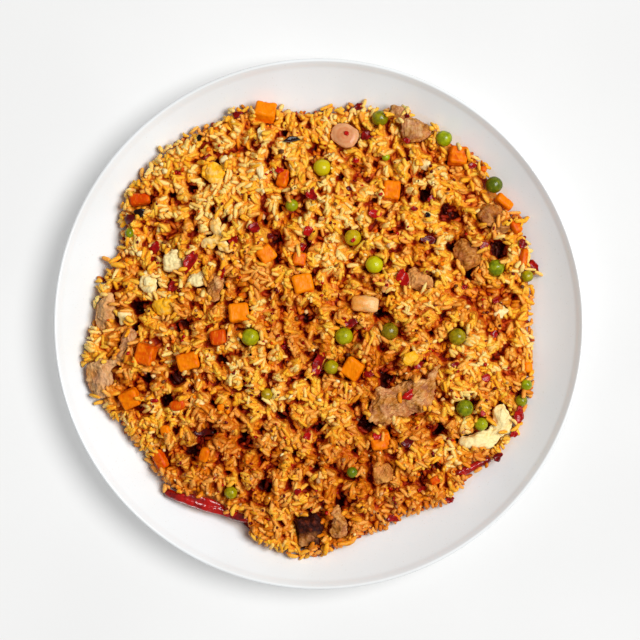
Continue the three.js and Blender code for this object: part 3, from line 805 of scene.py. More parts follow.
def plate():
    """A coupe plate turned from its section: floor, rising curve, rounded lip, underside and foot ring."""
    section = plate_section()
    turns = np.arange(PLATE_SIDES) * 2 * math.pi / PLATE_SIDES
    circle = np.stack([np.cos(turns), np.sin(turns), np.ones(PLATE_SIDES)], -1)
    rings = (section[:, [0, 0, 1]][:, None] * circle).reshape(-1, 3)
    loops = np.arange(len(rings)).reshape(-1, PLATE_SIDES)
    top, bottom = len(rings), len(rings) + 1
    faces = [face for one, two in zip(loops[:-1], loops[1:]) for face in band(one, two)]
    faces += [[i, j, top] for i, j in zip(loops[0], np.roll(loops[0], -1))]
    faces += [[j, i, bottom] for i, j in zip(loops[-1], np.roll(loops[-1], -1))]
    underside = PLATE_FLOOR_TOP - PLATE_FLOOR_THICKNESS
    points = np.vstack([rings, [[0, 0, PLATE_FLOOR_TOP], [0, 0, underside]]])
    mesh = mesh_of("plate_glazed", points, faces)
    past = (outwards(points[:, 0], points[:, 1]) - 1) * HEAP_RADIUS
    upper = points[:, 2] > plate_top(np.hypot(points[:, 0], points[:, 1])) - 0.5
    store(mesh, "oil", np.clip(1 - past / OIL_REACH, 0, 1) * upper)
    dress("plate_glazed", mesh, glaze(), ["plate"])


plate()

# ---- The heap's own grid ----

AXIS = np.arange(-SPAN, SPAN + CELL / 2, CELL)
EAST, NORTH = np.meshgrid(AXIS, AXIS, indexing="ij")
INSIDE = outwards(EAST, NORTH) < 1


def cell_of(east, north):
    """The cells of the grid at some places."""
    steps = (np.rint((np.asarray(way) + SPAN) / CELL).astype(int) for way in (east, north))
    return tuple(np.clip(step, 0, len(AXIS) - 1) for step in steps)


def blurred(heights, reach):
    """Heights evened out over some millimetres."""
    steps = np.arange(-3 * reach, 3 * reach + CELL, CELL)
    weights = np.exp(-0.5 * (steps / reach) ** 2)
    weights /= weights.sum()
    half = len(steps) // 2
    for axis in (0, 1):
        padded = np.pad(heights, [(half, half) if a == axis else (0, 0) for a in (0, 1)], mode="edge")
        total = 0
        for k, weight in enumerate(weights):
            total = total + weight * np.take(padded, np.arange(k, k + heights.shape[axis]), axis=axis)
        heights = total
    return heights


# ---- Toppings that are nodes of the part ----

class Cover:
    """Which cells the toppings cover, how high they are there, and how readily rice lies on them."""

    def __init__(self):
        self.top = np.full(EAST.shape, -FAR)
        self.share = np.zeros(EAST.shape)

    def mark(self, points, share):
        cells = cell_of(points[:, 0], points[:, 1])
        np.maximum.at(self.top, cells, points[:, 2])
        self.share[cells] = share


cover = Cover()
shapes = {}


def topping(kind, points, faces, share, **values):
    """Lays out one topping, on which rice comes to lie as readily as its share says."""
    shapes.setdefault(kind, []).append((points, faces, values))
    cover.mark(points, share)


def pea_shape(centre, radius, seed, wrinkled):
    """A cooked pea: a little uneven, with a dimple, and creased where it is wrinkled."""
    points, faces = ball(4)
    draw = np.random.default_rng(seed)
    dimple = draw.normal(size=3) + (0, 0, 0.8)
    dimple /= np.linalg.norm(dimple)
    out = 1 + 0.025 * ripple(points, 0.8, seed) + 0.012 * ripple(points, 0.35, seed + 1)
    out -= 0.07 * np.exp(-((1 - points @ dimple) / 0.05) ** 2)
    out -= wrinkled * 0.07 * (1 - np.abs(ripple(points, 0.45, seed + 2))) ** 3
    return centre + points * out[:, None] * radius * np.array([0.985, 0.965, 0.95]), faces


PEA_TONES = [
    1.1, 0.45, 0.4, 0.5, 0.1, 0.75, 0.9, 0.55, 0.3, 0.55, 0.35, 0.5, 0.45, 0.3, 0.5, 0.35, 0.55, 0.6, 0.5,
]
PEA_WARMTH = [
    0.6, 0.3, 0.5, 0.0, 0.2, 0.9, 0.3, 0.35, 1.0, 0.7, 0.1, 0.6, 0.8, 0.2, 0.2, 0.4, 0.3, 1.0, 0.6,
]
WRINKLED_PEAS = {"pea_11": 1.0, "pea_15": 0.9, "pea_18": 0.7, "pea_19": 0.8, "pea_14": 0.5, "pea_06": 0.5}
CARROT_TONES = [0.85, 0.4, 0.05, 0.6, 0.5, 0.7, 0.7, 0.5, 0.95, 0.9, 0.15, 0.35, 0.65, 0.6, 0.8, 0.6, 0.25]
MEAT_TONES = [0.2, -0.4, -0.6, 0.2, 0.25, 0.5, 0.5, -0.6, 1.2, 0.2, -0.4]
MEAT_WARMTH = [0.3, 0.1, 0.4, 0.4, 0.0, 0.8, 0.8, 0.8, 0.6, 0.5, 1.0]
MEAT_CHARRED_END = {"meat_09": 0.8}
EGG_TONES = [0.6, 0.95, 0.0, 0.1, 0.4, 1.1, 0.3]
EGG_CRUMBLE = [0.1, 0.2, 0.8, 0.8, 0.6, 0.3, 0.0]
EGG_ROUNDS = [3, 3, 3, 3, 3, 3, 16]
SHALLOT_TURNS = [-30, -4]
# Lumps that fill the waists of some pieces: east, north, length, width, height, turn, rise.
FILLERS = {
    "meat_01": [
        (38.8, -36.8, 17, 15, 8, 40, 0), (51.6, -30.4, 15, 14, 8, 40, 0), (42.0, -42.5, 12, 8, 6, 0, -0.5),
        (50.0, -39.0, 13, 10, 6, 30, 0),
    ],
    "meat_02": [
        (-101.6, -19.0, 10, 12, 6, -20, 0), (-94.0, -9.6, 15, 9, 4.5, 62, 0),
        (-110.6, -26.0, 21, 7, 4.5, 98, -0.4),
    ],
    "meat_03": [(-107.0, 5.0, 16, 6, 4.5, 95, -0.4)],
    "chilli_strip_01": [(-58.0, -87.4, 25, 6.6, 3.0, -17, -0.2)],
    "egg_07": [
        (87.0, -53.4, 13, 9, 4.0, 48, 0.0), (80.0, -57.8, 15, 7, 3.2, 4, -0.6),
        (92.0, -48.0, 5, 12, 3.2, -6, -0.6),
    ],
}

for index, node in enumerate(named("pea_")):
    low, high = (np.array(corner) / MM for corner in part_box(node))
    radius = float(max(high - low)) / 2
    points, faces = pea_shape((low + high) / 2, radius, 40 + index, WRINKLED_PEAS.get(node, 0.3))
    topping("peas", points, faces, 0.0, tone=PEA_TONES[index], warmth=PEA_WARMTH[index])

for index, node in enumerate(named("carrot_dice_")):
    points, faces = fine_copy(node, 0.36, 2)
    out = 0.35 * ripple(points, 4.2, index) + 0.14 * ripple(points, 1.1, index + 50) - 0.1
    topping("carrot_dice", pushed(points, faces, out), faces, 0.02, tone=CARROT_TONES[index])

for index, node in enumerate(named("meat_")):
    points, faces = fine_copy(node, 0.46, 3)
    points = torn(points, faces, 300 + index, 1.2)
    along = turned(points, math.radians(40 + 57 * index))
    strands = 1 - np.abs(ripple(along * (0.22, 1, 1), 1.5, index))
    bent = along + 0.8 * wander(points, 5.0, index + 40)
    creases = 1 - np.abs(ripple(bent * (0.45, 1, 1), 3.8, index + 20))
    strand = along + 1.1 * wander(points, 6.0, index + 50)
    out = 0.4 * ripple(bent, 4.6, index + 90) + 0.45 * (0.5 - creases ** 7) + 0.55 * (strands - 0.6)
    out += 0.4 * ripple(points, 2.2, index + 30) + 0.4 * ripple(points, 1.0, index + 60)
    points = pushed(points, faces, out)
    northward = (points[:, 1] - points[:, 1].mean()) / np.ptp(points[:, 1])
    tone = MEAT_TONES[index] + 0.4 * ripple(points, 5.0, index + 2)
    tone += MEAT_CHARRED_END.get(node, 0) * northward
    # The ridge value makes the raised parts lighter and the folds darker, as painted highlight and shade.
    topping("meat", points, faces, 0.02, tone=tone,
            warmth=MEAT_WARMTH[index], strand=strand * MM, ridge=np.clip(0.5 + 0.42 * out, 0, 1))

for index, node in enumerate(named("egg_")):
    points, faces = fine_copy(node, 0.42, EGG_ROUNDS[index])
    folds = np.clip(2.4 * np.abs(ripple(points, 4.4, index + 5)), 0, 1) ** 0.6
    crumbs = knobs(points, 1.6, index + 9)
    fine = 0.7 * ripple(points, 2.6, index) + 0.35 * ripple(points, 1.2, index + 3)
    out = 0.9 * folds + EGG_CRUMBLE[index] * crumbs - 0.8 + fine
    if EGG_CRUMBLE[index] == 0:
        # A torn sheet with soft wrinkles.
        points = torn(points, faces, 77, 0.7, 4.5)
        out = 0.5 * folds + 0.9 * fine + 0.5 * ripple(points, 4.5, 3)
    points = pushed(points, faces, out)
    topping("egg", points, faces, 0.04, tone=EGG_TONES[index], ridge=0.7 * folds + 0.3 * crumbs)

for index, node in enumerate(named("shallot_")):
    points, faces = fine_copy(node, 0.4, 4)
    middle = (points.min(0) + points.max(0)) / 2
    flat = turned(points - middle, math.radians(SHALLOT_TURNS[index]))
    half = np.abs(flat).max(0)
    along, across = flat[:, 0] / half[0], flat[:, 1] / half[1]
    if index == 0:
        rings = 0.07 * np.sin(np.hypot(flat[:, 0], flat[:, 1]) * 3.0)
        ridge = np.clip(along ** 2 + across ** 2, 0, 1) ** 1.5 * 0.4 + 0.38 + rings
    else:
        # A squarer outline with blunt ends.
        corner = (np.abs(along) ** 4 + np.abs(across) ** 4) ** 0.25
        square = np.hypot(along, across) / np.maximum(corner, 1e-6)
        points[:, :2] = middle[:2] + (points[:, :2] - middle[:2]) * square[:, None]
        ridge = np.clip(0.5 + 0.5 * along + 0.15 * np.sin(across * 9), 0, 1)
    points = pushed(points, faces, 0.5 * ripple(points, 4.0, index + 3))
    topping("shallot", points, faces, 0.0, tone=0.1 + 0.8 * index, ridge=ridge)

for index, node in enumerate(named("chilli_strip_")):
    points, faces = fine_copy(node, 0.3, 5)
    out = 0.35 * ripple(points * (0.5, 1, 1), 2.2, index) + 0.12 * ripple(points, 1.0, index + 4)
    points = pushed(points, faces, out)
    share = np.abs(points[:, 0] - points[:, 0].mean()) / np.ptp(points[:, 0])
    tone = 0.75 - 1.6 * share ** 2 + 0.25 * ripple(points, 3.0, index)
    topping("chilli_strips", points, faces, 0.04, tone=tone, wet=1.0)

# ---- Rice ----

pile = np.where(INSIDE, core_top(EAST, NORTH), plate_top(np.hypot(EAST, NORTH)))
even_top = mound_top(EAST, NORTH)
hollows = hollow_depth(EAST, NORTH)
darkest_hollows = hollow_depth(EAST, NORTH, HOLLOWS[:DARKEST_HOLLOWS])
hollow_shade = HOLLOW_SHADE * hollows ** 2 + DARKEST_SHADE * darkest_hollows ** 2
clump_tops, clump_values = clump_rise(EAST, NORTH)
crease_gaps, lump_tones, lump_turns = lumps(EAST, NORTH)
gaps = (clump_tops < CREVICE) | (crease_gaps < CREASE)

CEILING = cad_high.z / MM - 0.3
# Where a grain feels what lies under it, as shares of its length and its width.
ALONG = np.repeat([-0.42, -0.2, 0.0, 0.2, 0.42], 3)
ACROSS = np.tile([-0.3, 0.0, 0.3], 5)
ANYWHERE = len(ALONG)


def spread(heights, reach):
    """The highest value within some millimetres of each cell."""
    count = int(reach / CELL)
    padded = np.pad(heights, count, constant_values=-FAR)
    highest = np.full(heights.shape, -FAR)
    for i, j in np.ndindex(2 * count + 1, 2 * count + 1):
        if math.hypot(i - count, j - count) <= count:
            highest = np.maximum(highest, padded[i:i + heights.shape[0], j:j + heights.shape[1]])
    return highest


# Rice beside a topping stays about as low as the topping's top.
beside = spread(cover.top, 3.5)
beside = np.where(beside > -FAR / 2, beside + 0.1, FAR)

STRIP_LOW, STRIP_HIGH = (np.array(corner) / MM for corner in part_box("chilli_strip_01"))


def past_strip(east, north):
    """True on the bare plate outside the long chilli strip."""
    along = (east - STRIP_LOW[0]) / (STRIP_HIGH[0] - STRIP_LOW[0])
    return -0.08 < along < 1.02 and north < STRIP_HIGH[1] - along * (STRIP_HIGH[1] - STRIP_LOW[1]) + 0.5


class Heap:
    """Drops grains one after another, each to rest on what lies under it."""

    def __init__(self, seed):
        self.draw = np.random.default_rng(seed)
        self.rows = []

    def drop(self, east, north, length, width, limit, allowance, sink=0.0, spin=None, over=False,
             overhang=ANYWHERE):
        """Lays one grain, unless it would hang over gaps, lie too far on toppings or stand too high."""
        if past_strip(east, north):
            return
        i, j = cell_of(east, north)
        if spin is None:
            spin = math.pi * lump_turns[i, j] + self.draw.normal(0, LUMP_SPREAD)
        cos, sin = math.cos(spin), math.sin(spin)
        ts, us = ALONG * length, ACROSS * width
        cells = cell_of(east + ts * cos - us * sin, north + ts * sin + us * cos)
        if gaps[cells].sum() > overhang:
            return
        covered = cover.top[cells] > even_top[cells] - COVER_MARGIN
        under = pile[cells]
        if over or covered.sum() > allowance:
            if not over and self.draw.random() > cover.share[cells].max():
                return
            under = np.maximum(under, cover.top[cells])
        elif covered.any():
            under, ts = under[~covered], ts[~covered]
        run = ((ts - ts.mean()) ** 2).sum()
        slope = ((ts - ts.mean()) * (under - under.mean())).sum() / max(run, 1)
        slope = float(np.clip(slope, -STEEPEST_GRAIN, STEEPEST_GRAIN))
        above = under - slope * ts
        slope += self.draw.normal(0, GRAIN_LEAN)
        # Its middle comes to rest between the highest and the mean of what it feels.
        middle = 0.55 * above.max() + 0.45 * above.mean() + 0.42 * width - sink
        if middle + 0.4 * width > min(even_top[i, j] + limit, CEILING, CEILING if over else beside[i, j]):
            return
        reach = int(length / 2 / CELL) + 1
        patch = (slice(max(i - reach, 0), i + reach + 1), slice(max(j - reach, 0), j + reach + 1))
        dx, dy = EAST[patch] - east, NORTH[patch] - north
        t, u = dx * cos + dy * sin, dy * cos - dx * sin
        inside = 1 - (2 * t / length) ** 2 - (2 * u / width) ** 2
        top = middle + slope * t + np.sqrt(np.maximum(inside, 0)) * GRAIN_HALF * width
        pile[patch] = np.where(inside > 0, np.maximum(pile[patch], top), pile[patch])
        self.rows.append((east, north, middle, spin, slope, length, width))


def grain_size(draw):
    """Length and width of a grain, whole or broken."""
    length = draw.uniform(*GRAIN_LENGTH) if draw.random() > BROKEN_SHARE else draw.uniform(*BROKEN_LENGTH)
    return length, draw.uniform(*GRAIN_WIDTH)


def spots(spacing, draw, jitter=0.55):
    """Places all over the heap, on a shaken six-sided grid, in a shuffled order."""
    rows = np.arange(-SPAN, SPAN, spacing * 0.866)
    places = np.array([
        (x + (k % 2) * spacing / 2, y) for k, y in enumerate(rows) for x in np.arange(-SPAN, SPAN, spacing)
    ])
    places += draw.uniform(-jitter, jitter, places.shape) * spacing
    draw.shuffle(places)
    return places


heap = Heap(7)
bed = spots(2.6, heap.draw)
for east, north in bed[outwards(*bed.T) < 0.985]:
    heap.drop(east, north, *grain_size(heap.draw), limit=1.0, allowance=3, sink=0.7)

for spacing, lowest in ((1.8, CREVICE), (1.9, CREVICE + 0.2), (1.8, CREVICE + 0.4)):
    loose = spots(spacing, heap.draw, 0.9)
    cells = cell_of(*loose.T)
    free = (outwards(*loose.T) < 0.99) & (clump_tops[cells] > lowest) & (hollows[cells] < OPEN_HOLLOW)
    for east, north in loose[free]:
        heap.drop(east, north, *grain_size(heap.draw), limit=GRAIN_LIMIT, allowance=2, sink=0.7, overhang=6)

# A belt of grains round the steep edge, which lies on the plate and against the rice.
for _ in range(BELT_GRAINS):
    bearing = heap.draw.uniform(0, 2 * math.pi)
    reach = float(heap_reach(bearing))
    outline = np.array([reach * np.cos([bearing]), reach * np.sin([bearing])])
    ragged = 2.4 * float(flat_ripple(*outline, 6.0, 44)[0])
    reach = (reach + ragged) * (1 - BELT_WIDTH * heap.draw.random() ** 1.5)
    east = HEAP_EAST + reach * math.cos(bearing)
    north = HEAP_NORTH + reach * math.sin(bearing)
    heap.drop(east, north, *grain_size(heap.draw), limit=1.6, allowance=2)

# Stray grains at the outline: east, north, turn in degrees.
STRAYS = [
    (-103.5, 31.6, -24), (-98.4, 28.6, -10), (-100.2, 31.4, 30), (3.6, 106.6, 25), (5.0, 104.0, 60),
    (3.4, -110.4, 80), (15.4, -106.6, 40), (12.2, -107.6, 10), (-62.0, -78.0, 70), (101.0, 51.0, 40),
]
for east, north, turn in STRAYS:
    heap.drop(east, north, *STRAY_SIZE, limit=9.0, allowance=ANYWHERE, spin=math.radians(turn))


# ---- Small toppings that lie in the rice ----

def lie(east, north, turn, reach, rise):
    """A place on top of the pile, leaning as the pile does there."""
    i, j = cell_of(east, north)
    k = max(1, int(reach / CELL))
    level = np.percentile(np.maximum(pile, cover.top)[i - k:i + k + 1, j - k:j + k + 1], 75)
    place = settle(east, north, turn)
    place[2, 3] = level + rise
    return place


def lump(size, seed, squareness, roughness):
    """A small uneven lump, from a rounded cube to a crumbled ball."""
    points, faces = ball(3)
    points = np.sign(points) * np.abs(points) ** squareness
    swollen = 1 + roughness * (ripple(points, 0.7, seed) + 0.5 * ripple(points, 0.33, seed + 1))
    return points * swollen[:, None] * np.array(size) / 2, faces


def flake(length, width, seed):
    """A curled scrap of chilli skin: a thin bent sheet with a ragged outline."""
    draw = np.random.default_rng(seed)
    sides, rings, half_thickness = 22, 5, 0.42
    turns = np.arange(sides) * 2 * math.pi / sides
    circle = np.stack([np.cos(turns), np.sin(turns), 0 * turns], -1)
    ragged = 1 + 0.4 * ripple(circle, 0.8, seed) + 0.22 * ripple(circle, 0.3, seed + 1)
    curl, arch = draw.uniform(0.10, 0.26), draw.uniform(-0.12, 0.2)
    size = np.array([length, width, 0]) / 2
    layers = [ring / rings * ragged[:, None] * circle * size for ring in range(1, rings + 1)]
    sheet = np.vstack([[[0, 0, 0]], *layers])
    lift = curl * sheet[:, 1] ** 2 + arch * sheet[:, 0] ** 2 / (length / 4)
    lift += 0.35 * ripple(sheet + (9.0 * seed, 0, 0), 2.0, seed)
    edge = np.concatenate([np.zeros(1 + sides * (rings - 1)), np.ones(sides)])
    half = half_thickness * (1 - 0.75 * edge)
    top, under = (sheet + (0, 0, 1) * (lift + side * half)[:, None] for side in (1, -1))
    loops = 1 + np.arange(rings * sides).reshape(rings, sides)
    faces = [[0, i, j] for i, j in zip(loops[0], np.roll(loops[0], -1))]
    for inner, outer in zip(loops[:-1], loops[1:]):
        faces += band(inner, outer)
    below = [[len(sheet) + i for i in reversed(face)] for face in faces]
    return np.vstack([top, under]), faces + below + band(loops[-1], loops[-1] + len(sheet))


# East, north, length, width, turn, tone, rise.
FLAKE_ROWS = [
    (87.5, -65.0, 5.6, 4.8, 20, 0.45, 0.4), (97.3, -44.8, 8.8, 4.6, 78, 0.7, 0.5),
    (105.1, 28.3, 7.2, 4.6, -48, 0.6, 0.6), (40.6, 22.6, 9.4, 6.4, 62, 0.75, 0.8),
    (-5.4, 45.4, 5.8, 4.6, 20, 0.8, 0.4), (-80.6, 36.7, 6.0, 5.4, 60, 0.65, 0.5),
    (-81.1, 31.3, 3.8, 3.6, 0, 0.5, 0.2), (-62.6, 30.3, 10.4, 5.6, 66, 0.7, 0.5),
    (-70.9, 18.3, 6.8, 4.6, 64, 0.6, 0.4), (-92.6, 51.6, 7.0, 4.6, 20, 0.3, 0.2),
    (-87.6, 54.0, 5.4, 4.4, 24, 0.0, 0.4), (-40.2, 102.4, 6.8, 3.8, -8, 0.5, 0.2),
    (19.1, 106.5, 5.8, 3.8, 18, 0.45, 0.2), (23.3, 92.4, 7.0, 5.0, 28, 0.5, 0.5),
    (-47.4, 25.1, 7.6, 4.2, 72, 0.6, 0.4), (-30.8, 46.9, 5.8, 5.2, 30, 0.6, 0.4),
    (-41.7, 40.8, 6.4, 4.2, -58, 0.6, 0.3), (26.7, 53.5, 6.8, 4.0, -18, 0.85, 0.5),
    (52.8, 41.0, 9.4, 3.6, -12, 0.35, 0.3), (14.7, 0.7, 7.6, 3.6, 14, 0.5, 0.3),
    (0.0, -18.1, 13.4, 4.8, 72, 0.62, 0.6), (48.4, -19.7, 4.8, 4.2, 0, 0.6, 0.4),
    (43.5, -34.4, 7.2, 3.8, 30, 0.75, 0.5), (85.3, -5.2, 6.6, 3.6, 76, 0.65, 0.4),
    (66.2, -20.0, 3.8, 3.4, 0, 0.6, 0.3), (79.7, -43.7, 3.2, 3.0, 0, 0.7, 0.3),
    (-5.4, -54.1, 4.8, 3.6, 62, 0.8, 0.4), (36.4, -95.2, 6.4, 3.4, -12, 0.6, 0.3),
    (-3.9, 62.7, 6.8, 4.6, -50, 0.65, 0.4), (-54.0, 80.7, 5.4, 4.2, 40, 0.6, 0.3),
    (75.2, 77.7, 4.6, 3.4, 20, 0.6, 0.3), (99.2, 39.2, 5.4, 4.4, 70, 0.5, 0.3),
    (80.4, 38.1, 5.8, 4.2, 20, 0.6, 0.4), (-17.4, -11.5, 4.0, 3.0, 10, 0.6, 0.3),
    (64.0, -86.5, 4.4, 3.2, 20, 0.6, 0.2), (-8.4, 37.8, 4.6, 3.4, 40, 0.6, 0.3),
    (-19.5, 74.8, 4.4, 3.2, -30, 0.85, 0.4), (27.9, -54.2, 5.2, 3.4, 20, 0.85, 0.4),
    (13.7, 92.9, 2.6, 2.2, 0, 0.95, 0.2), (16.6, 40.4, 2.6, 2.0, 30, 0.9, 0.1),
    (-12.9, 90.2, 7.6, 2.8, 8, 0.05, 0.3), (-80.2, -37.3, 3.8, 2.4, 10, 0.7, 0.2),
    (-55.9, -52.8, 9.6, 4.0, 4, 0.12, 0.6), (-10.6, -81.7, 4.2, 3.2, 40, 0.6, 0.3),
    (81.4, -26.1, 5.0, 3.2, 30, 0.75, 0.4), (95.4, -53.7, 5.0, 3.6, 60, 0.7, 0.2),
    (42.6, -57.5, 6.6, 4.2, 20, 0.35, 0.2), (24.4, -24.3, 5.0, 3.4, 10, 0.55, 0.3),
    (50.5, -80.8, 5.2, 3.0, 20, 0.75, 0.2), (55.2, 61.2, 5.0, 3.8, 60, 0.6, 0.4),
    (46.3, 56.1, 3.2, 2.6, 0, 0.6, 0.2), (42.6, 89.7, 3.4, 3.0, 0, 0.6, 0.2),
    (43.0, 101.9, 3.4, 3.0, 0, 0.35, 0.2), (17.8, 79.9, 3.8, 3.0, 10, 0.8, 0.2),
    (71.1, 18.2, 3.2, 2.6, 0, 0.7, 0.2), (86.5, 11.1, 3.6, 3.0, 0, 0.6, 0.2),
    (14.6, 65.9, 3.0, 2.8, 0, 0.4, 0.1), (-58.7, 91.1, 3.4, 3.0, 40, 0.0, 0.1),
    (52.9, 53.3, 3.2, 2.6, 0, 0.0, 0.1), (-24.0, 43.0, 4.0, 3.0, 10, 0.3, 0.2),
]

# Kind: rows of east, north, length, width, height, turn, tone, rise.
BITS = {
    "peas": [(32.7, 81.6, 4.0, 4.0, 3.6, 0, 0.6, 0.3), (101.6, -29.8, 5.6, 5.6, 5.4, 0, 0.5, 0.6),
             (16.1, -72.2, 5.4, 5.4, 5.0, 0, 0.2, 1.2), (-92.9, 44.5, 4.4, 4.8, 4.4, 0, 0.3, 0.6)],
    "carrot": [(96.5, 47.5, 4.8, 6.8, 4.0, 30, 0.4, 0.4), (100.1, 32.5, 3.6, 9.2, 4.0, -12, 0.3, 0.5),
               (-68.9, -39.6, 7.4, 5.4, 3.6, 15, 0.2, 0.6), (102.5, -21.3, 4.2, 5.2, 3.6, 0, 0.9, 0.4),
               (-74.9, -52.3, 5.0, 6.0, 3.6, 10, 0.7, 0.6), (-55.9, -63.8, 4.8, 7.4, 3.6, -18, 0.6, 0.8),
               (80.4, 75.8, 3.2, 3.2, 2.6, 0, 0.3, 0.4), (56.6, -76.5, 4.8, 4.2, 3.0, 30, 0.2, 0.5),
               (-47.7, -40.6, 3.6, 3.2, 2.6, 10, 0.8, 0.4), (-37.0, 14.0, 4.2, 3.4, 2.6, 20, 0.6, 0.3)],
    "meat": [(89.4, 46.9, 7.4, 6.4, 4.4, 20, 0.2, 0.5), (38.6, 103.6, 8.8, 6.4, 4.6, -30, 0.35, 0.6)],
    "egg": [(-94.8, 3.4, 6.0, 6.8, 3.8, 20, 0.2, 0.8), (88.9, 5.6, 7.2, 5.0, 3.6, 30, 0.1, 0.8),
            (-28.3, 93.3, 3.6, 4.8, 2.6, -20, 0.1, 0.6), (-28.6, 74.3, 3.6, 8.0, 3.0, 8, 0.2, 0.8),
            (44.2, -16.6, 8.4, 6.4, 3.6, 35, 0.9, 0.8), (51.3, 78.4, 6.4, 5.2, 3.4, -30, 0.3, 0.8),
            (-57.2, -38.1, 5.2, 3.2, 2.4, 60, 0.25, 0.7), (-46.5, 80.0, 4.6, 3.4, 2.8, 30, 0.0, 0.8)],
    "shallot": [(32.3, 18.6, 3.0, 7.4, 3.0, -20, 0.6, 0.6)],
}
# How square and how uneven the small lumps of each kind are.
LUMP_FORMS = {
    "peas": (1.0, 0.04), "carrot": (0.62, 0.09), "meat": (0.8, 0.22), "egg": (0.9, 0.4),
    "shallot": (0.9, 0.08),
}

for index, (east, north, length, width, turn, tone, rise) in enumerate(FLAKE_ROWS):
    points, faces = flake(length, width, 70 + index)
    points = moved(points, lie(east, north, turn, width / 2, rise))
    topping("chilli_flakes", points, faces, 1.0, tone=tone)

for kind, rows in BITS.items():
    for index, (east, north, length, width, height, turn, tone, rise) in enumerate(rows):
        points, faces = lump((length, width, height), 900 + 7 * index, *LUMP_FORMS[kind])
        ridge = 0.5 + 0.5 * ripple(points, 1.6, index)
        points = moved(points, lie(east, north, turn, width / 3, rise))
        strand = turned(points, index) * MM
        topping("small_" + kind, points, faces, 1.0, tone=tone, ridge=ridge, strand=strand)

# Grains that lie half over the edge of a topping, for each millimetre of its length and width.
EDGE_GRAINS = {
    "peas": 0.06, "carrot_dice": 0.1, "meat": 0.16, "egg": 0.18, "shallot": 0.04, "chilli_strips": 0.32,
    "chilli_flakes": 0.12, "small_peas": 0.1, "small_carrot": 0.2, "small_meat": 0.3, "small_egg": 0.3,
    "small_shallot": 0.3,
}


def rim_of(points, faces):
    """Points round the widest part of a shape, seen from above, and the way out from it there."""
    middle = points[:, :2].mean(0)
    away = points[:, :2] - middle
    if len({len(face) for face in faces}) == 1:
        facing = facings(points, np.asarray(faces))
        rim = np.abs(facing[:, 2]) < 0.35
        out = facing[:, :2]
    else:
        rim = np.linalg.norm(away, axis=1) > 0.8 * np.linalg.norm(away, axis=1).max()
        out = away
    out = out[rim] / np.maximum(np.linalg.norm(out[rim], axis=1, keepdims=True), 1e-6)
    return points[rim, :2], out


for kind, rows in shapes.items():
    for points, faces, _ in rows:
        rim, out = rim_of(points, faces)
        count = heap.draw.poisson(EDGE_GRAINS[kind] * np.ptp(points[:, :2], axis=0).sum())
        for k in heap.draw.integers(0, len(rim), count):
            heap.drop(*(rim[k] + 0.7 * out[k]), *grain_size(heap.draw), limit=12.0, allowance=9, over=True)


def showing(rows):
    """The grains that reach the top of the finished pile somewhere along their length."""
    east, north, height, spin, slope, length, width = rows.T
    seen = np.zeros(len(rows), bool)
    for share in (-0.36, -0.12, 0.12, 0.36):
        along = share * length
        i, j = cell_of(east + along * np.cos(spin), north + along * np.sin(spin))
        seen |= height + slope * along + GRAIN_HALF * width > pile[i, j] - 0.7
    return rows[seen]


grains = showing(np.array(heap.rows))
even_pile = blurred(pile, 3.4)


def sunk_at(points, depth=DARK_BELOW):
    """How far points lie below the evened-out rice: 0 at its top, 1 some way down, more in hollows. Colours
    darken with it as painted shade, in the rice also with sauce.
    """
    cells = cell_of(points[:, 0], points[:, 1])
    return np.clip((even_pile[cells] + 0.6 - points[:, 2]) / depth + hollow_shade[cells], 0, 1.6)


def joined(name, rows, share, material, nodes):
    """One piece of all shapes of a kind. The share says how much of their depth in the rice darkens them, as
    painted shade.
    """
    points, faces, values, count = [], [], {}, 0
    for shape, corners, given in rows:
        points.append(shape)
        faces += [[int(i) + count for i in face] for face in corners]
        count += len(shape)
        for key, value in {"sunk": sunk_at(shape, TOPPING_DARK_BELOW) * share, **given}.items():
            values.setdefault(key, []).append(value if np.ndim(value) else np.full(len(shape), value))
    points = np.vstack(points)
    points[:, 2] = np.minimum(points[:, 2], TOP)
    mesh = mesh_of(name, points, faces)
    for key, parts in values.items():
        store(mesh, key, np.concatenate(parts))
    dress(name, mesh, material, nodes)


FINISHES = {
    "pea": pea_finish(), "carrot": carrot_finish(), "meat": meat_finish(), "egg": egg_finish(),
    "shallot": shallot_finish(), "chilli": chilli_finish(),
}
for kind, slot, prefix in (
    ("peas", "pea", "pea_"), ("carrot_dice", "carrot", "carrot_dice_"), ("meat", "meat", "meat_"),
    ("egg", "egg", "egg_"), ("shallot", "shallot", "shallot_"), ("chilli_strips", "chilli", "chilli_strip_"),
):
    joined(kind + "_cooked", shapes[kind], 1.0, FINISHES[slot], named(prefix))
for kind, slot in (
    ("chilli_flakes", "chilli"), ("small_peas", "pea"), ("small_carrot", "carrot"), ("small_meat", "meat"),
    ("small_egg", "egg"), ("small_shallot", "shallot"),
):
    joined(kind, shapes[kind], 0.7, FINISHES[slot], ["rice_heap"])


# ---- The core ----

close_pile = blurred(pile, 0.7)


def packed(east, north):
    """The rice that fills the room between the grains, which stops a little short of their tops."""
    return close_pile[cell_of(east, north)] - PACKING_DEPTH + 0.5 * flat_ripple(east, north, 1.7, 71)


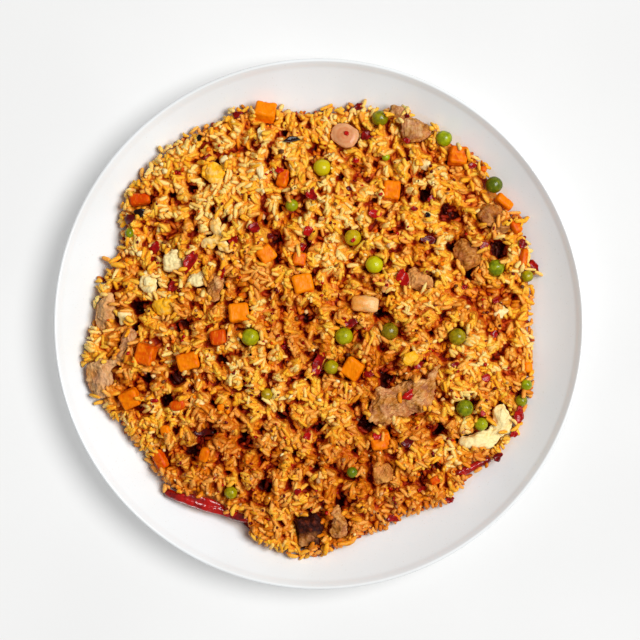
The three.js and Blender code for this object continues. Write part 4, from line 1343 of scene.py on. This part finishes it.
def core():
    """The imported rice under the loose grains: a closed mound that follows the plate underneath."""
    a, b = np.meshgrid(*[np.linspace(-1, 1, CORE_ROWS + 1)] * 2, indexing="ij")
    share = np.maximum(np.abs(a), np.abs(b))
    wide = np.abs(a) >= np.abs(b)
    sideways = np.pi / 4 * b / np.where(wide & (a != 0), a, 1)
    upwards = np.pi / 2 - np.pi / 4 * a / np.where(b != 0, b, 1)
    turn = np.where(wide, sideways, upwards) + np.where(np.where(wide, a, b) < 0, np.pi, 0)
    reach = share * (heap_reach(turn) - CORE_TUCK)
    east, north = HEAP_EAST + reach * np.cos(turn), HEAP_NORTH + reach * np.sin(turn)
    points = [np.stack([east, north, packed(east, north)], -1).reshape(-1, 3)]
    index = np.arange(a.size).reshape(a.shape)
    faces = np.stack([index[:-1, :-1], index[1:, :-1], index[1:, 1:], index[:-1, 1:]], -1)
    faces = faces.reshape(-1, 4).tolist()
    loop = np.concatenate([index[:-1, 0], index[-1, :-1], index[:0:-1, -1], index[0, :0:-1]])
    sides, total, rim = len(loop), a.size, points[0][loop]
    for share in (0.985, 0.8, 0.4):
        east = HEAP_EAST + share * (rim[:, 0] - HEAP_EAST)
        north = HEAP_NORTH + share * (rim[:, 1] - HEAP_NORTH)
        points.append(np.stack([east, north, plate_top(np.hypot(east, north)) + 0.3], -1))
        beyond = total + np.arange(sides)
        faces += band(loop, beyond)
        loop, total = beyond, total + sides
    points.append(np.array([[HEAP_EAST, HEAP_NORTH, PLATE_FLOOR_TOP + 0.3]]))
    faces += np.stack([loop, np.full(sides, total), np.roll(loop, -1)], -1).tolist()
    points = np.vstack(points)
    mesh = mesh_of("rice_core", points, faces)
    store(mesh, "sunk", sunk_at(points))
    # The sauce value, which is partly painted shade, less on lighter lumps.
    store(mesh, "sauce", sauce_and_shade_at(points[:, 0], points[:, 1]) - 0.25 * lump_tones[cell_of(*points[:, :2].T)])
    dress("rice_core", mesh, core_finish(), ["rice_heap"])


core()


# ---- Grains, laid out by geometry nodes ----

def form_of(name, points, faces):
    """An object, outside the scene, that the layout copies. It is one long."""
    mesh = mesh_of(name, points, faces, 1)
    mesh.shade_smooth()
    return bpy.data.objects.new(name, mesh)


def grain_form(name, bend, front, back, seed):
    """A grain along +X, one long and one thick: eight-sided, bent, with blunt or pointed ends."""
    draw = np.random.default_rng(seed)
    stations = (0.07, 0.34, 0.66, 0.93)
    points = [(-0.5, 0, -bend * 0.3)]
    for station, thick in zip(stations, (front, 0.96, 0.98, back)):
        offset = bend * (math.sin(math.pi * station) - 0.3)
        for side in range(GRAIN_SIDES):
            turn = 2 * math.pi * side / GRAIN_SIDES + station
            size = 0.5 * thick * (1 + 0.08 * draw.uniform(-1, 1))
            points.append((station - 0.5, size * math.cos(turn) + offset, 0.86 * size * math.sin(turn)))
    points.append((0.5, bend * -0.3, 0))
    here = range(GRAIN_SIDES)
    faces = [(0, 1 + (side + 1) % GRAIN_SIDES, 1 + side) for side in here]
    for ring in range(len(stations) - 1):
        a, b = 1 + GRAIN_SIDES * ring, 1 + GRAIN_SIDES * (ring + 1)
        faces += [(a + s, a + (s + 1) % GRAIN_SIDES, b + (s + 1) % GRAIN_SIDES, b + s) for s in here]
    tip = len(points) - 1
    faces += [(tip, tip - GRAIN_SIDES + side, tip - GRAIN_SIDES + (side + 1) % GRAIN_SIDES) for side in here]
    return form_of(name, points, faces)


def crumb_form(name, flatness, seed):
    """An uneven crumb, one across, with twenty faces."""
    points, faces = ball(1)
    draw = np.random.default_rng(seed)
    points = points * 0.5 * (1 + 0.35 * draw.uniform(-1, 1, (len(points), 1))) * (1, 0.8, flatness)
    return form_of(name, points, faces.tolist())


def form_set(name, forms):
    """A set of forms, from which the layout picks."""
    group = bpy.data.collections.new(name)
    for form in forms:
        group.objects.link(form)
    return group


def scatter_tree():
    """Puts a form of a set at each point, turned and sized as the point says, and makes it uneven."""
    tree = bpy.data.node_groups.new("lay_out_forms", "GeometryNodeTree")
    inputs = {
        "Points": "NodeSocketGeometry", "Forms": "NodeSocketCollection", "Unevenness": "NodeSocketFloat",
        "Feature size": "NodeSocketFloat", "Finish": "NodeSocketMaterial",
    }
    for name, kind in inputs.items():
        tree.interface.new_socket(name, in_out="INPUT", socket_type=kind)
    tree.interface.new_socket("Laid out", in_out="OUTPUT", socket_type="NodeSocketGeometry")
    sheet = Sheet(tree)
    sockets = tree.nodes.new("NodeGroupInput").outputs
    given = {name: Wire(sheet, sockets[name]) for name in inputs}

    def stored(name, kind):
        return sheet.node("GeometryNodeInputNamedAttribute", {"data_type": kind}, {"Name": name})

    forms = sheet.node("GeometryNodeCollectionInfo", {}, {
        "Collection": given["Forms"], "Separate Children": True, "Reset Children": True})
    turn = sheet.node("FunctionNodeEulerToRotation", {}, {0: stored("turn", "FLOAT_VECTOR")})
    laid = sheet.node("GeometryNodeInstanceOnPoints", {}, {
        "Points": given["Points"], "Instance": forms, "Pick Instance": True,
        "Instance Index": stored("form", "INT"), "Rotation": turn, "Scale": stored("size", "FLOAT_VECTOR")})
    real = sheet.node("GeometryNodeRealizeInstances", {}, {"Geometry": laid})
    per_metre = sheet.node("ShaderNodeMath", {"operation": "DIVIDE"}, {0: 1.0, 1: given["Feature size"]})
    wobble = sheet.node("ShaderNodeTexNoise", {}, {"Scale": per_metre, "Detail": 1.0}, output="Color")
    centred = sheet.node("ShaderNodeVectorMath", {"operation": "SUBTRACT"}, {0: wobble, 1: (0.5, 0.5, 0.5)})
    scaled = {0: centred, "Scale": given["Unevenness"]}
    shift = sheet.node("ShaderNodeVectorMath", {"operation": "SCALE"}, scaled)
    uneven = sheet.node("GeometryNodeSetPosition", {}, {"Geometry": real, "Offset": shift})
    done = sheet.node("GeometryNodeSetMaterial", {}, {"Geometry": uneven, "Material": given["Finish"]})
    sheet.node("NodeGroupOutput", {}, {"Laid out": done})
    return tree


TREE = scatter_tree()
GRAINS = form_set("grain_forms", [
    grain_form("grain_plain", 0.05, 0.66, 0.6, 1), grain_form("grain_bent", 0.26, 0.62, 0.6, 2),
    grain_form("grain_bowed", -0.2, 0.58, 0.7, 3), grain_form("grain_broken", 0.04, 0.86, 0.6, 4),
    grain_form("grain_stub", -0.06, 0.8, 0.8, 5), grain_form("grain_thin_tip", 0.12, 0.6, 0.44, 6),
])
CRUMBS = form_set("crumb_forms", [crumb_form(f"crumb_{k}", 0.7, 30 + k) for k in range(5)])
FLAKES = form_set("flake_forms", [crumb_form(f"flake_{k}", 0.3, 50 + k) for k in range(5)])


def lay_out(name, places, turns, sizes, forms, finish, slot, unevenness, **values):
    """One piece of many small things of a kind."""
    mesh = mesh_of(name + "_points", places, [])
    store(mesh, "turn", turns)
    store(mesh, "size", sizes * MM)
    form = np.random.default_rng(len(places)).integers(0, len(forms.objects), len(places))
    mesh.attributes.new("form", "INT", "POINT").data.foreach_set("value", form.astype(np.int32))
    for key, data in values.items():
        store(mesh, key, data)
    holder = in_scene(name + "_points", mesh)
    layout = holder.modifiers.new("lay_out", "NODES")
    layout.node_group = TREE
    inputs = {item.name: item.identifier for item in TREE.interface.items_tree if item.in_out == "INPUT"}
    layout[inputs["Forms"]] = forms
    layout[inputs["Unevenness"]] = unevenness * MM
    layout[inputs["Feature size"]] = UNEVEN_EVERY * MM
    layout[inputs["Finish"]] = finish
    real, points = made_real(holder)
    real.name = name
    for key in ("turn", "size", "form"):
        if key in real.attributes:
            real.attributes.remove(real.attributes[key])
    points = points / MM
    points[:, 2] = np.minimum(points[:, 2], TOP)
    real.vertices.foreach_set("co", (points * MM).ravel())
    store(real, "sunk", sunk_at(points))
    # How far below their neighbours' tops the points lie, for painted shade on the grains' flanks.
    store(real, "flank_shade_depth", np.clip((close_pile[cell_of(*points[:, :2].T)] + 0.2 - points[:, 2]) / 1.2, 0, 1))
    dress(name, real, finish, ["rice_heap"])


# The shades of rice, from the palest, and the shares of the grains below which the next begins. Each has a
# light and a full colour, and a darker one that paints shade on the grains' lower flanks.
RICE_SHADES = {
    "rice_pale": ("ffdc86", "ffca64", "ee9820"), "rice_golden": ("ffc644", "ffb222", "e88a08"),
    "rice_amber": ("ffbc56", "f2a23c", "d87614"), "rice_brown": ("f49c1c", "de8006", "be5a02"),
    "rice_red": ("ee9422", "cc6a0c", "a04004"),
}
SHADE_SHARES = [0.12, 0.38, 0.62, 0.84]


def grain_kinds():
    """Sorts the grains into kinds by how saucy and how deep they are, with chance. Deeper grains get darker
    kinds, as painted shade.
    """
    draw = np.random.default_rng(12)
    east, north, height = grains[:, :3].T
    # The sauce value is partly painted shade.
    sauce = sauce_and_shade_at(east, north)
    cells = cell_of(east, north)
    depth = np.clip((even_pile[cells] - height) / 3, 0, 1)
    # Depth gives darker kinds: painted shade.
    score = 0.5 * sauce + 0.35 * depth - 0.06 * clump_values[cells] - 0.13 * lump_tones[cells]
    score += 0.14 * draw.random(len(grains))
    order = np.argsort(np.argsort(score)) / len(score)
    kind = np.digitize(order, SHADE_SHARES)
    turns = np.stack([draw.uniform(0, 6.28, len(grains)), -np.arctan(grains[:, 4]), grains[:, 3]], -1)
    sizes = np.stack([grains[:, 5], grains[:, 6], grains[:, 6]], -1)
    tone = draw.random(len(grains))
    for index, (name, shades) in enumerate(RICE_SHADES.items()):
        mine = kind == index
        finish = rice_finish(name + "_finish", *shades)
        lay_out(name, grains[mine, :3], turns[mine], sizes[mine], GRAINS, finish, "rice", 1.1,
                tone=tone[mine], sauce=sauce[mine])


grain_kinds()


# ---- Scattered specks ----

def specks(name, count, size, forms, slot, seed, tone=(0.2, 0.9)):
    """Crumbs of a kind, scattered over the heap between its toppings."""
    draw = np.random.default_rng(seed)
    bearing, share = draw.uniform(0, 2 * math.pi, count * 2), np.sqrt(draw.random(count * 2)) * 0.97
    reach = heap_reach(bearing) * share
    east, north = HEAP_EAST + reach * np.cos(bearing), HEAP_NORTH + reach * np.sin(bearing)
    i, j = cell_of(east, north)
    free = cover.top[i, j] < even_top[i, j] - COVER_MARGIN
    east, north, i, j = (part[free][:count] for part in (east, north, i, j))
    count = len(east)
    across = draw.uniform(*size, count) * draw.uniform(0.7, 1.0, count)
    places = np.stack([east, north, pile[i, j] + 0.25 * across], -1)
    turns = np.stack([draw.uniform(*span, count) for span in ((-0.5, 0.5), (-0.5, 0.5), (0, 6.28))], -1)
    sizes = across[:, None] * draw.uniform(0.7, 1.3, (count, 3))
    lay_out(name, places, turns, sizes, forms, FINISHES[slot], slot, 0.3, tone=draw.uniform(*tone, count),
            ridge=draw.random(count), strand=places * MM)


specks("chilli_specks", 560, (0.9, 2.6), FLAKES, "chilli", 61)
specks("egg_crumbs", 110, (1.6, 3.4), CRUMBS, "egg", 62, (0.0, 0.9))
specks("carrot_crumbs", 110, (1.2, 2.8), CRUMBS, "carrot", 63)
specks("meat_crumbs", 120, (1.4, 3.2), CRUMBS, "meat", 64, (0.0, 0.9))


# ---- The stage ----

def floor():
    """A sheet of pale paper, six metres wide."""
    mix = Recipe("floor_paper")
    mix.start("c4c4c3", "c0c0bf", mix.between(mix.noise(180.0), 0.4, 0.6))
    paper = mix.finish(0.85, mix.bump(mix.noise(1.5), 0.02), Emission_Color=(1.0, 1.0, 1.0, 1.0),
                       Emission_Strength=0.325)
    reach = 3.0
    corners = [(-reach, -reach, 0), (reach, -reach, 0), (reach, reach, 0), (-reach, reach, 0)]
    mesh = mesh_of("floor", corners, [(0, 1, 2, 3)], 1)
    mesh.materials.append(paper)
    in_scene("floor", mesh)


def lamp(name, bearing, elevation, distance, size, power):
    """A round lamp that faces the plate's middle."""
    light = bpy.data.lights.new(name, "AREA")
    light.shape = "DISK"
    light.size = size
    light.energy = power
    bearing, elevation = math.radians(bearing), math.radians(elevation)
    towards = Vector((math.cos(bearing) * math.cos(elevation), math.sin(bearing) * math.cos(elevation),
                      math.sin(elevation)))
    holder = in_scene(name, light)
    holder.location = towards * distance
    holder.rotation_mode = "QUATERNION"
    holder.rotation_quaternion = towards.to_track_quat("Z", "Y")


floor()
lamp("key", 14, 62, 7.0, 3.85, 500.0)
world = bpy.data.worlds.new("studio")
world.use_nodes = True
background = world.node_tree.nodes["Background"].inputs
background["Color"].default_value = (1, 1, 1, 1)
background["Strength"].default_value = 0.22
bpy.context.scene.world = world
bpy.context.scene.view_settings.view_transform = "Standard"

# The camera looks straight down. The middle of its view is a little off the plate's middle.
VIEW_EAST, VIEW_NORTH = 0.49, 1.95
VIEW_HEIGHT = 1500.0
VIEW_WIDTH = 312.8
SENSOR_WIDTH = 36
camera = bpy.data.cameras.new("camera")
camera.sensor_width = SENSOR_WIDTH
camera.lens = SENSOR_WIDTH * VIEW_HEIGHT / VIEW_WIDTH
viewer = in_scene("camera", camera)
viewer.location = Vector((VIEW_EAST, VIEW_NORTH, PLATE_HEIGHT + VIEW_HEIGHT)) * MM
bpy.context.scene.camera = viewer
